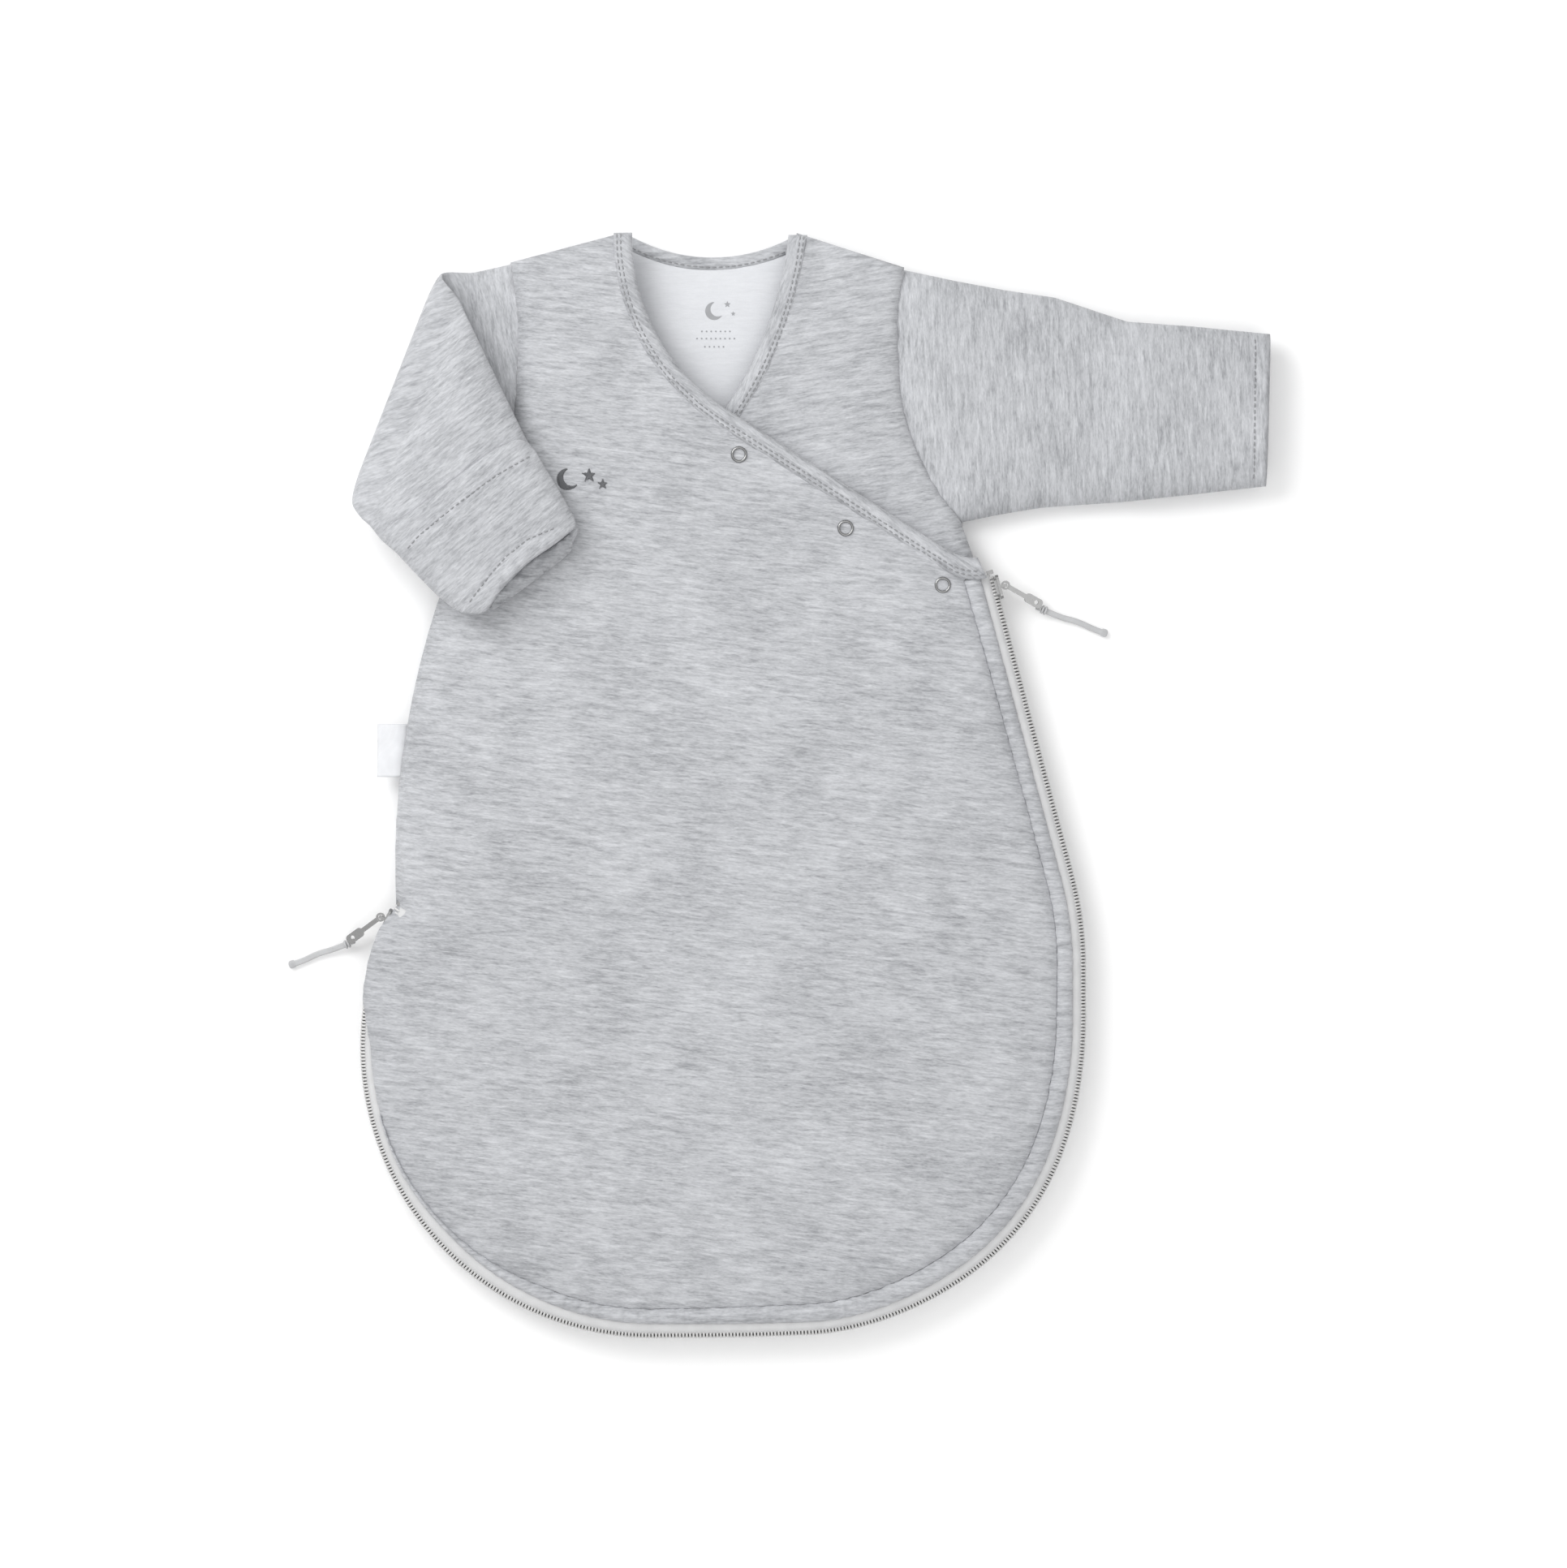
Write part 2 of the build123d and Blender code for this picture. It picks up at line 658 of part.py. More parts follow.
def shift(p, way, distance):
    return (p[0] + way[0] * distance, p[1] + way[1] * distance)


left_upper_outline = [
    Line(along_line(left_crease_top, shoulder_left, 2.2), along_line(shoulder_left, left_crease_top, 1.4)),
    Line(along_line(shoulder_left, left_crease_top, 1.4), along_line(armpit_left, left_crease_low, 1.3)),
    Line(along_line(armpit_left, left_crease_low, 1.3), along_line(left_crease_low, armpit_left, 1.9)),
    Line(along_line(left_crease_low, armpit_left, 1.9), along_line(left_crease_top, shoulder_left, 2.2)),
]
left_lower_bend = (-179.5, 131.5)
left_outline = [
    Line(along_line(left_cuff_top, left_crease_top, 1.3), along_line(left_crease_top, left_cuff_top, 1.3)),
    Line(along_line(left_crease_top, left_cuff_top, 1.3), along_line(left_lower_bend, left_cuff_low, 1.4)),
    Line(along_line(left_lower_bend, left_cuff_low, 1.4), left_lower_bend),
    Line(left_lower_bend, along_line(left_lower_bend, left_crease_low, 3.0)),
    Line(along_line(left_lower_bend, left_crease_low, 3.0), along_line(left_cuff_top, left_crease_top, 1.3)),
]
body_block = plate(back_outline(0), -tall, tall)
half_gap = fold_gap / 2
inner_side = [shift(left_crease_top, fold_way, -far), shift(left_crease_low, fold_way, far)]
inner_clip = polygon([shift(p, fold_out, -half_gap) for p in inner_side]
                     + [shift(p, fold_out, -2 * far) for p in reversed(inner_side)])
cuff_run = (left_cuff_low[0] - left_cuff_top[0], left_cuff_low[1] - left_cuff_top[1])
cuff_size = math.hypot(*cuff_run)
cuff_way = (cuff_run[0] / cuff_size, cuff_run[1] / cuff_size)
cuff_back = (cuff_way[1], -cuff_way[0])
cuff_points = [shift(left_cuff_top, cuff_way, -far), shift(left_cuff_low, cuff_way, far)]
cuff_clip = polygon(cuff_points + [shift(p, cuff_back, 2 * far) for p in reversed(cuff_points)])
left_clip = inner_clip & cuff_clip
save_sleeve("left_upper_sleeve", left_upper_outline, 0, inner_clip - body_block)
save_sleeve("left_forearm", left_outline, folded_low, left_clip)
left_mitt_zone = polygon(cuff_points + [shift(p, cuff_back, mitt_length) for p in reversed(cuff_points)])
mitt_face = offset(make_face(left_outline), amount=-shell, kind=Kind.INTERSECTION)
mitt_low = folded_low + sleeve_height + mitt_gap
left_mitt = extrude(Pos(0, 0, mitt_low) * mitt_face, amount=mitt_thick, dir=(0, 0, 1))
left_mitt = left_mitt & left_mitt_zone & left_clip
save("left_mitt", left_mitt)

crease_in, crease_out = right_crease_x - half_gap, right_crease_x + half_gap
high_y, low_y = right_inside_top[1] + far, right_inside_low[1] - far
right_upper_clip = polygon([(0, low_y), (crease_in, low_y), (crease_in, high_y), (0, high_y)])
cuff_box = [(crease_out, low_y), shift(right_cuff_low, (0, -1), far), right_cuff_low, right_cuff_top,
            shift(right_cuff_top, (0, 1), far), (crease_out, high_y)]
right_clip = polygon(cuff_box)
save_sleeve("right_upper_sleeve", right_outline, 0, right_upper_clip - body_block)
save_sleeve("right_forearm", right_outline, forearm_low, right_clip)
right_mitt_face = offset(make_face(right_outline), amount=-shell, kind=Kind.INTERSECTION)
mitt_start = right_cuff_low[0] - mitt_length
mitt_end = mitt_start + far
right_mitt_zone = polygon([(mitt_start, low_y), (mitt_end, low_y), (mitt_end, high_y), (mitt_start, high_y)])
right_mitt = extrude(right_mitt_face, amount=mitt_thick, dir=(0, 0, 1)) & right_clip & right_mitt_zone
save("right_mitt", right_mitt)

# Label in the side seam and embroidery on the chest
label_points = [(-177.5, 3.0), (-176.0, 30.5), (-150.0, 30.5), (-150.0, 3.0)]
label_thick = 1.0
moon_place, moon_radius = (-79.0, 155.5), 5.5
moon_bite, moon_bite_radius = (2.6, 1.4), 4.6
stars = [((-68.0, 157.5), 3.6), ((-61.0, 153.0), 2.6)]
star_waist = 0.45       # of a star's radius
thread_height = 0.4


def thread(place, radius):
    return disc(place, radius, front_top, front_top + thread_height)


def star(place, radius):
    points = [at(place, radius if i % 2 == 0 else radius * star_waist, 90 + 36 * i) for i in range(10)]
    return polygon(points, front_top, front_top + thread_height)


save("side_label", polygon(label_points, middle - label_thick / 2, middle + label_thick / 2) - body_block)
moon = thread(moon_place, moon_radius) - thread(beside(moon_place, *moon_bite), moon_bite_radius)
save("chest_embroidery", Part() + [moon] + [star(*s) for s in stars])
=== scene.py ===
import math

import bmesh
import bpy
import numpy as np
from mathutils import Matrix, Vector, noise
from mathutils.bvhtree import BVHTree
from mathutils.geometry import delaunay_2d_cdt


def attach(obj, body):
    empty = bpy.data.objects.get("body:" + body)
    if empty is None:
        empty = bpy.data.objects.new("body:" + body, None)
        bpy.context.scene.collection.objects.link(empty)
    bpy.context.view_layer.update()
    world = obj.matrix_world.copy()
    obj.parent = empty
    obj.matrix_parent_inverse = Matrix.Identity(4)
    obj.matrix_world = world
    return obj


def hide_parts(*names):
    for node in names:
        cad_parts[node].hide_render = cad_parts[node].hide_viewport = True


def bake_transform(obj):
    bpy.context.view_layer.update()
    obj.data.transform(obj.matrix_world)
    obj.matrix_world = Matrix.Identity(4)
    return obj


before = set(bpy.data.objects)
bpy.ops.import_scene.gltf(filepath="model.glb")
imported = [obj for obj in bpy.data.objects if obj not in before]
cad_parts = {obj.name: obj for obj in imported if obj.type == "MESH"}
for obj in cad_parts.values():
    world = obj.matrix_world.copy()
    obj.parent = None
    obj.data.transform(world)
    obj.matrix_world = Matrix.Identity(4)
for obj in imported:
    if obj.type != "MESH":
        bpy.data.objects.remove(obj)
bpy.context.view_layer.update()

mm = 0.001
print("frame loaded")

# Everything below is worked out in millimetres, and turned into metres where a mesh is made.
bag = dict(
    halfWidth=187.0, leftWidth=186.0, hemY=-285.0, sideLean=15.0,
    upperRadius=190.0, upperY=-95.0, lowerRadius=225.0, lowerY=-120.0,
    rightCorner=137.6, leftCorner=150.0, zipStraight=159.0, zipEndAngle=151.0,
    shoulderLeft=(-108.3, 267.0), shoulderRight=(92.5, 264.2),
    neckLeft=(-47.5, 282.0), neckRight=(36.5, 281.5), neckDip=270.8,
    armpitLeft=(-130.0, 134.0), armpitRight=(122.5, 134.0),
)
levels = dict(underLow=11.6, underTop=18.2, frontLow=18.6, frontTop=25.2)
wrap = dict(edgeX=-46.0, radius=105.0, centreY=279.9, slope=32.5, binding=9.5, levelFrom=114.0, level=0.0208)
under = dict(radius=193.0, centre=(-157.8, 301.5), lowAngle=-52.0, binding=9.5)
flap = dict(corner=(-24.0, 160.0), angle=23.8, length=118.0)


def polar(centre, radius, degrees):
    a = math.radians(degrees)
    return (centre[0] + radius * math.cos(a), centre[1] + radius * math.sin(a))


def arcRun(centre, radius, first, last, count):
    turn = np.radians(np.linspace(first, last, count + 1))
    return np.stack([centre[0] + radius * np.cos(turn), centre[1] + radius * np.sin(turn)], 1)


def lineRun(p, q, count):
    share = np.linspace(0, 1, count + 1)[:, None]
    return np.array(p) * (1 - share) + np.array(q) * share


def bowRun(p, m, q, count):  # arc through three points
    (ax, ay), (bx, by), (cx, cy) = p, m, q
    d = 2 * (ax * (by - cy) + bx * (cy - ay) + cx * (ay - by))
    ux = ((ax * ax + ay * ay) * (by - cy) + (bx * bx + by * by) * (cy - ay) + (cx * cx + cy * cy) * (ay - by)) / d
    uy = ((ax * ax + ay * ay) * (cx - bx) + (bx * bx + by * by) * (ax - cx) + (cx * cx + cy * cy) * (bx - ax)) / d
    first, mid, last = (math.degrees(math.atan2(y - uy, x - ux)) for x, y in (p, m, q))
    mid = first + (mid - first + 180) % 360 - 180
    last = mid + (last - mid + 180) % 360 - 180
    return arcRun((ux, uy), math.hypot(ax - ux, ay - uy), first, last, count)


def chain(*runs):  # joins runs end to end, without doubled points
    points = [runs[0]]
    for run in runs[1:]:
        points.append(run[1:])
    return np.concatenate(points)


upperCentre = (bag["halfWidth"] - bag["upperRadius"], bag["upperY"])
lowerCentre = (bag["halfWidth"] - bag["lowerRadius"], bag["lowerY"])
cornerY = bag["hemY"] + bag["rightCorner"]
cornerReach = bag["lowerRadius"] - bag["rightCorner"]
rightCentre = (lowerCentre[0] + math.sqrt(cornerReach**2 - (bag["lowerY"] - cornerY) ** 2), cornerY)
cornerAngle = math.degrees(math.atan2(cornerY - bag["lowerY"], rightCentre[0] - lowerCentre[0]))
leftCentre = (bag["leftCorner"] - bag["leftWidth"], bag["hemY"] + bag["leftCorner"])
hemEase = dict(at=118.0, reach=70.0, rise=4.8, begins=-150.0, full=-215.0)
lean = math.radians(bag["sideLean"])


def smoothly(x):
    x = np.clip(x, 0, 1)
    return x * x * (3 - 2 * x)


def eased(points):  # the filled hem draws its right corner in a little, clear of the sliders' ways
    x, y = points[:, 0], points[:, 1]
    rise = hemEase["rise"] * np.exp(-(((x - hemEase["at"]) / hemEase["reach"]) ** 2))
    return np.column_stack([x, y + rise * smoothly((hemEase["begins"] - y) / (hemEase["begins"] - hemEase["full"]))])


def zipPath(offset, density=0.4):  # the same number of points at every offset
    top = polar(upperCentre, bag["upperRadius"] + offset, bag["sideLean"])
    head = (top[0] - math.sin(lean) * bag["zipStraight"], top[1] + math.cos(lean) * bag["zipStraight"])
    steps = lambda size: max(2, int(size * density))
    lower = bag["lowerRadius"] + offset
    edge = bag["halfWidth"] + offset
    turn = bag["zipEndAngle"] - 360
    return eased(chain(
        lineRun(head, top, steps(bag["zipStraight"])),
        arcRun(upperCentre, bag["upperRadius"] + offset, bag["sideLean"], 0, steps(50)),
        lineRun((edge, bag["upperY"]), (edge, bag["lowerY"]), steps(25)),
        arcRun(lowerCentre, lower, 0, cornerAngle, steps(70)),
        arcRun(rightCentre, bag["rightCorner"] + offset, cornerAngle, -90, steps(172)),
        lineRun((rightCentre[0], bag["hemY"] - offset), (leftCentre[0], bag["hemY"] - offset), steps(80)),
        arcRun(leftCentre, bag["leftCorner"] + offset, -90, turn, steps(312)),
    ))


sideFoot = tuple(zipPath(-7.5)[0])
sideCorner = tuple(zipPath(0)[-1])
wrapCentre = (wrap["edgeX"] + wrap["radius"], wrap["centreY"])


def wrapLine(inset, count=26, straight=44):  # the wrap's neck edge, from the shoulder to the zip
    radius = wrap["radius"] + inset
    rise = bag["neckLeft"][1] - wrap["centreY"]
    start = 180 - math.degrees(math.asin(rise / radius))
    foot = polar(wrapCentre, radius, 270 - wrap["slope"])
    tilt = (sideFoot[0] - bag["armpitRight"][0]) / (sideFoot[1] - bag["armpitRight"][1])
    slope = math.tan(math.radians(wrap["slope"]))
    y = foot[1] + slope * (foot[0] - bag["armpitRight"][0] + tilt * bag["armpitRight"][1])
    y /= 1 + slope * tilt
    end = (foot[0] + (foot[1] - y) / slope, y)
    line = chain(arcRun(wrapCentre, radius, start, 270 - wrap["slope"], count), lineRun(foot, end, straight))
    line[:, 1] += wrap["level"] * np.clip(line[:, 0] - wrap["levelFrom"], 0, None) ** 2
    return line


def underLine(inset, count=40):
    radius = under["radius"] + inset
    start = math.degrees(math.asin((bag["neckRight"][1] - under["centre"][1]) / radius))
    return arcRun(under["centre"], radius, start, under["lowAngle"], count)


leftSide = bowRun(sideCorner, (-160.5, 35.0), bag["armpitLeft"], 60)
leftArmhole = chain(
    bowRun(bag["armpitLeft"], (-112.0, 166.0), (-105.3, 208.0), 20),
    bowRun((-105.3, 208.0), (-105.0, 238.0), bag["shoulderLeft"], 16),
)
rightArmhole = chain(
    bowRun(bag["armpitRight"], (100.0, 168.0), (89.8, 215.0), 22),
    bowRun((89.8, 215.0), (89.5, 240.0), bag["shoulderRight"], 14),
)


def lengths(line):  # how far along a line each of its points is
    return np.concatenate([[0], np.cumsum(np.linalg.norm(np.diff(line, axis=0), axis=1))])


def ways(line):  # unit directions along a line
    way = np.gradient(line, axis=0)
    return way / np.maximum(np.linalg.norm(way, axis=1), 1e-9)[:, None]


def resample(run, count):
    run = np.array(run, float)
    along = lengths(run)
    stops = np.linspace(0, along[-1], count)
    return np.stack([np.interp(stops, along, run[:, k]) for k in range(run.shape[1])], 1)


def level(height):  # a flat surface for a panel
    return lambda points: np.full(len(points), float(height))


def closed(points):  # an outline with no doubled point
    keep = [points[0]]
    for p in points[1:]:
        if math.dist(p, keep[-1]) > 0.3:
            keep.append(p)
    if math.dist(keep[0], keep[-1]) < 0.3:
        keep.pop()
    return np.array(keep)


def inside(points, outline):
    hit = np.zeros(len(points), bool)
    x, y = points[:, 0], points[:, 1]
    for (ax, ay), (bx, by) in zip(outline, np.roll(outline, -1, 0)):
        crosses = (ay > y) != (by > y)
        at = (bx - ax) * (y - ay) / (by - ay + 1e-12) + ax
        hit ^= crosses & (x < at)
    return hit


def fillOutline(outline, spacing):  # triangles over an outline, with an even field of points inside
    low, high = outline.min(0), outline.max(0)
    rows = []
    y, odd = low[1], 0
    while y < high[1]:
        xs = np.arange(low[0] + (spacing / 2 if odd else 0), high[0], spacing)
        rows.append(np.stack([xs, np.full(len(xs), y)], 1))
        y += spacing * 0.866
        odd = 1 - odd
    field = np.concatenate(rows)
    field = field[inside(field, outline)]
    ring = np.concatenate([outline, outline[:1]])
    field = field[nearest(field, ring)[0] > spacing * 0.55]
    points = np.concatenate([outline, field])
    count = len(outline)
    edges = [(i, (i + 1) % count) for i in range(count)]
    found = delaunay_2d_cdt([Vector(p) for p in points], edges, [], 1, 1e-4)
    flat = np.array([tuple(v) for v in found[0]])
    faces = [tuple(f) for f in found[2]]
    return flat, faces


def boundaryEdges(faces):
    seen = {}
    for f in faces:
        for i in range(len(f)):
            e = (f[i], f[(i + 1) % len(f)])
            key = tuple(sorted(e))
            seen[key] = None if key in seen else e
    return [e for e in seen.values() if e]


def makeMesh(name, verts, faces, smooth=True):
    mesh = bpy.data.meshes.new(name)
    mesh.from_pydata([tuple(float(c) * mm for c in v) for v in verts], [], faces)
    mesh.polygons.foreach_set("use_smooth", [smooth] * len(mesh.polygons))
    mesh.update()
    piece = bpy.data.objects.new(name, mesh)
    bpy.context.scene.collection.objects.link(piece)
    return piece


def ringFaces(rings, around, first=0):  # the skin of a capped tube made of rings
    faces = []
    for i in range(rings - 1):
        for j in range(around):
            a, b = first + i * around + j, first + i * around + (j + 1) % around
            faces.append((a, b, b + around, a + around))
    faces.append(tuple(first + j for j in reversed(range(around))))
    faces.append(tuple(first + (rings - 1) * around + j for j in range(around)))
    return faces


def setKnit(piece, along):  # the knit's own coordinates, in millimetres: along the courses, across them, depth
    mesh = piece.data
    spots = np.array([v.co for v in mesh.vertices]) / mm
    way = np.array([math.cos(math.radians(along)), math.sin(math.radians(along))])
    u = spots[:, :2] @ way
    v = spots[:, :2] @ np.array([-way[1], way[0]])
    knit = mesh.attributes.get("knit") or mesh.attributes.new("knit", "FLOAT_VECTOR", "POINT")
    knit.data.foreach_set("vector", np.stack([u, v, spots[:, 2]], 1).astype(np.float32).ravel())


def dress(piece, material, body, slot, *nodes):
    piece.data.materials.append(material)
    if body:
        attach(piece, body)
    if nodes:
        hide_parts(*nodes)
    return piece


def ripple(points, size, seed):  # smooth noise between -1 and 1
    return np.array([noise.noise(Vector((x / size, y / size, seed * 7.31))) for x, y in points])


# Shader maths
class Socket:
    def __init__(self, tree, link):
        self.tree, self.link = tree, link

    def maths(self, operation, other=None, swap=False):
        node = self.tree.nodes.new("ShaderNodeMath")
        node.operation = operation
        order = [self, other] if not swap else [other, self]
        for i, value in enumerate(v for v in order if v is not None):
            if isinstance(value, Socket):
                self.tree.links.new(value.link, node.inputs[i])
            else:
                node.inputs[i].default_value = value
        return Socket(self.tree, node.outputs[0])

    def __add__(self, other):
        return self.maths("ADD", other)

    def __radd__(self, other):
        return self.maths("ADD", other, True)

    def __sub__(self, other):
        return self.maths("SUBTRACT", other)

    def __rsub__(self, other):
        return self.maths("SUBTRACT", other, True)

    def __mul__(self, other):
        return self.maths("MULTIPLY", other)

    def __rmul__(self, other):
        return self.maths("MULTIPLY", other, True)


class Nodes:
    def __init__(self, owner):
        owner.use_nodes = True
        self.tree = owner.node_tree

    def node(self, kind, settings=None, out=0, **sockets):
        made = self.tree.nodes.new("ShaderNode" + kind)
        for key, value in (settings or {}).items():
            if key == "stops":
                for i, (place, colour) in enumerate(value):
                    stop = made.color_ramp.elements
                    spot = stop[i] if i < len(stop) else stop.new(place)
                    spot.position = place
                    spot.color = (*colour, 1)
            else:
                setattr(made, key, value)
        for key, value in sockets.items():
            target = made.inputs[int(key[1:])] if key[0] == "i" and key[1:].isdigit() else made.inputs[key]
            if isinstance(value, Socket):
                self.tree.links.new(value.link, target)
            else:
                target.default_value = value
        return Socket(self.tree, made.outputs[out])



class Shader(Nodes):
    def __init__(self, name, **fixed):
        self.material = bpy.data.materials.new(name)
        super().__init__(self.material)
        self.surface = self.tree.nodes["Principled BSDF"]
        for socket, value in fixed.items():
            self.surface.inputs[socket.replace("_", " ")].default_value = value

    def feed(self, socket, value):
        self.tree.links.new(value.link, self.surface.inputs[socket])


def grey(level, warm=0.0):  # sRGB level from 0 to 255, as a linear colour
    def linear(v):
        v /= 255
        return v / 12.92 if v < 0.04045 else ((v + 0.055) / 1.055) ** 2.4
    return tuple(linear(v) for v in (level + warm, level + warm * 0.4, level - warm))


def jersey(name, dark, mid, light, warm=-2.5, streak=1.0, rib=0.75, depth=0.25):
    s = Shader(name, Roughness=0.92, Sheen_Weight=0.25, Sheen_Roughness=0.5)
    knit = s.node("Attribute", dict(attribute_name="knit"), out=1)
    long = s.node("VectorMath", dict(operation="MULTIPLY"), i0=knit, i1=(0.06, 0.42, 0.05))
    short = s.node("VectorMath", dict(operation="MULTIPLY"), i0=knit, i1=(0.16, 0.95, 0.2))
    speck = s.node("VectorMath", dict(operation="MULTIPLY"), i0=knit, i1=(0.55, 1.9, 0.5))
    a = s.node("TexNoise", dict(), Vector=long, Scale=1.0, Detail=3.0, Roughness=0.62, Distortion=0.5)
    b = s.node("TexNoise", dict(), Vector=short, Scale=1.0, Detail=2.0, Roughness=0.6, Distortion=0.4)
    c = s.node("TexNoise", dict(), Vector=speck, Scale=1.0, Detail=1.0)
    cloud = s.node("TexNoise", dict(), Vector=knit, Scale=0.03, Detail=2.0)
    mix = (a * 0.36 + b * 0.32 + c * 0.16 + cloud * 0.16 - 0.5) * (2.7 * streak) + 0.5
    stops = [(0.15, grey(dark, warm)), (0.5, grey(mid, warm)), (0.85, grey(light, warm))]
    colour = s.node("ValToRGB", dict(stops=stops), Fac=mix)
    s.feed("Base Color", colour)
    loops = s.node("VectorMath", dict(operation="MULTIPLY"), i0=knit, i1=(1 / rib, 1 / (rib * 1.3), 0.0))
    loop = s.node("TexVoronoi", dict(feature="SMOOTH_F1"), Vector=loops, Scale=1.0, Randomness=0.35)
    bump = s.node("Bump", dict(), Strength=depth, Distance=0.0004, Height=loop + b * 0.6)
    s.feed("Normal", bump)
    return s.material


marl = jersey("heatherJersey", 149, 181, 203)
liningJersey = jersey("whiteJersey", 206, 214, 221, streak=0.6)
bindingJersey = jersey("bindingJersey", 146, 179, 202, rib=0.9, depth=0.35)


def woven(name, level, warm, pitch):
    s = Shader(name, Roughness=0.8)
    knit = s.node("Attribute", dict(attribute_name="knit"), out=1)
    fine = s.node("VectorMath", dict(operation="MULTIPLY"), i0=knit, i1=(1 / pitch, 1 / pitch, 1 / pitch))
    weave = s.node("TexVoronoi", dict(distance="CHEBYCHEV"), Vector=fine, Scale=1.0, Randomness=0.1)
    cloud = s.node("TexNoise", dict(), Vector=knit, Scale=0.15, Detail=2.0)
    colour = s.node("ValToRGB", dict(stops=[(0.0, grey(level - 16, warm)), (1.0, grey(level + 8, warm))]),
                    Fac=weave * 0.5 + cloud * 0.7)
    s.feed("Base Color", colour)
    s.feed("Normal", s.node("Bump", dict(), Strength=0.3, Distance=0.0003, Height=weave))
    return s.material


tapeCloth = woven("zipTapeWeave", 210, -0.5, 0.7)
labelSatin = woven("labelSatin", 226, -2.0, 0.4)
cordKnit = woven("cordKnit", 190, -1.0, 0.6)
threadDark = woven("embroideryThread", 112, -2.0, 0.35)
printInk = woven("printedInk", 160, -2.0, 0.5)


def metal(name, level, rough, warm=0.0):
    s = Shader(name, Metallic=1.0)
    s.surface.inputs["Base Color"].default_value = (*grey(level, warm), 1)
    spots = s.node("TexCoord", dict(), out=3)
    scuff = s.node("TexNoise", dict(), Vector=spots, Scale=900.0, Detail=3.0)
    s.feed("Roughness", scuff * 0.2 + (rough - 0.1))
    return s.material


snapMetal = metal("polishedSnap", 158, 0.16)
zipMetal = metal("platedZinc", 168, 0.28, 0.0)
coilNylon = woven("coilNylon", 214, 0.5, 1.2)
stitchThread = woven("topstitchThread", 154, -1.5, 0.3)
print("materials made")

# Floor, light and camera
studio = dict(viewX=31.5, viewY=-0.4, across=804.6, away=3.2, clothHeight=0.014, floorDrop=0.6, floorHalf=1600,
              sky=0.85)


def makeStudio():
    scene = bpy.context.scene
    camera = bpy.data.cameras.new("viewCamera")
    spot = bpy.data.objects.new("viewCamera", camera)
    scene.collection.objects.link(spot)
    spot.location = (studio["viewX"] * mm, studio["viewY"] * mm, studio["away"])
    camera.sensor_fit = "HORIZONTAL"
    camera.sensor_width = 36
    camera.lens = 36 * (studio["away"] - studio["clothHeight"]) / (studio["across"] * mm)
    scene.camera = spot
    half = studio["floorHalf"]
    corners = [(x, y, -studio["floorDrop"]) for x, y in ((-half, -half), (half, -half), (half, half), (-half, half))]
    floor = makeMesh("floor", corners, [(0, 1, 2, 3)], False)
    paper = Shader("paperFloor", Base_Color=(*grey(254), 1), Roughness=0.9)
    floor.data.materials.append(paper.material)
    for name, place, size, power in (("key", (-0.85, 0.9, 1.15), 1.0, 15.0), ("fill", (0.7, -0.5, 1.6), 1.8, 5.0),
                                     ("front", (-0.2, -1.3, 1.1), 1.4, 3.0)):
        lamp = bpy.data.lights.new(name, "AREA")
        lamp.size = size
        lamp.energy = power
        holder = bpy.data.objects.new(name, lamp)
        scene.collection.objects.link(holder)
        holder.location = place
        holder.rotation_euler = (Vector((0, 0, 0)) - Vector(place)).to_track_quat("-Z", "Y").to_euler()
    world = bpy.data.worlds.new("softRoom")
    room = Nodes(world)
    height = room.node("SeparateXYZ", out=2, Vector=room.node("TexCoord"))
    sky = room.node("ValToRGB", dict(stops=[(0.1, (0.3, 0.3, 0.3)), (0.75, (1, 1, 1))]), Fac=height)
    backdrop = room.tree.nodes["Background"]
    room.tree.links.new(sky.link, backdrop.inputs[0])
    backdrop.inputs[1].default_value = studio["sky"]
    scene.world = world
    scene.view_settings.view_transform = "Standard"


makeStudio()


# Shaping helpers
def nearest(points, run):  # gap to a polyline, and how far along it the nearest place is
    best = np.full(len(points), 1e9)
    along = np.zeros(len(points))
    travelled = 0.0
    for a, b in zip(run[:-1], run[1:]):
        d = b - a
        size = math.hypot(d[0], d[1])
        t = np.clip(((points - a) @ d) / max(size * size, 1e-9), 0, 1)
        gap = points - (a + t[:, None] * d)
        gap = np.hypot(gap[:, 0], gap[:, 1])
        nearer = gap < best
        best = np.where(nearer, gap, best)
        along = np.where(nearer, travelled + t * size, along)
        travelled += size
    return best, along


def roundOff(gap, reach):  # 1 at a seam, 0 beyond its reach, like the side of a pillow
    share = np.clip(1 - gap / reach, 0, 1)
    return 1 - np.sqrt(1 - share**2)


def pucker(gap, along, period, height, reach, seed):  # small gathers that run square to a seam
    beat = np.array([noise.noise(Vector((s / period * 0.9, seed * 3.7, 0))) for s in along])
    slow = np.array([noise.noise(Vector((s / period * 0.23, seed * 5.1, 4))) for s in along])
    wave = np.sin(2 * math.pi * along / period + 5 * slow + 2 * beat)
    return height * (0.55 + 0.9 * slow) * wave * np.exp(-((gap / reach) ** 2))


def drawn(points, angle, long, short, seed):  # noise stretched along an angle, like cloth under pull
    turn = math.radians(angle)
    way = np.array([[math.cos(turn) / long, -math.sin(turn) / short],
                    [math.sin(turn) / long, math.cos(turn) / short]])
    return ripple(np.asarray(points) @ way, 1.0, seed)


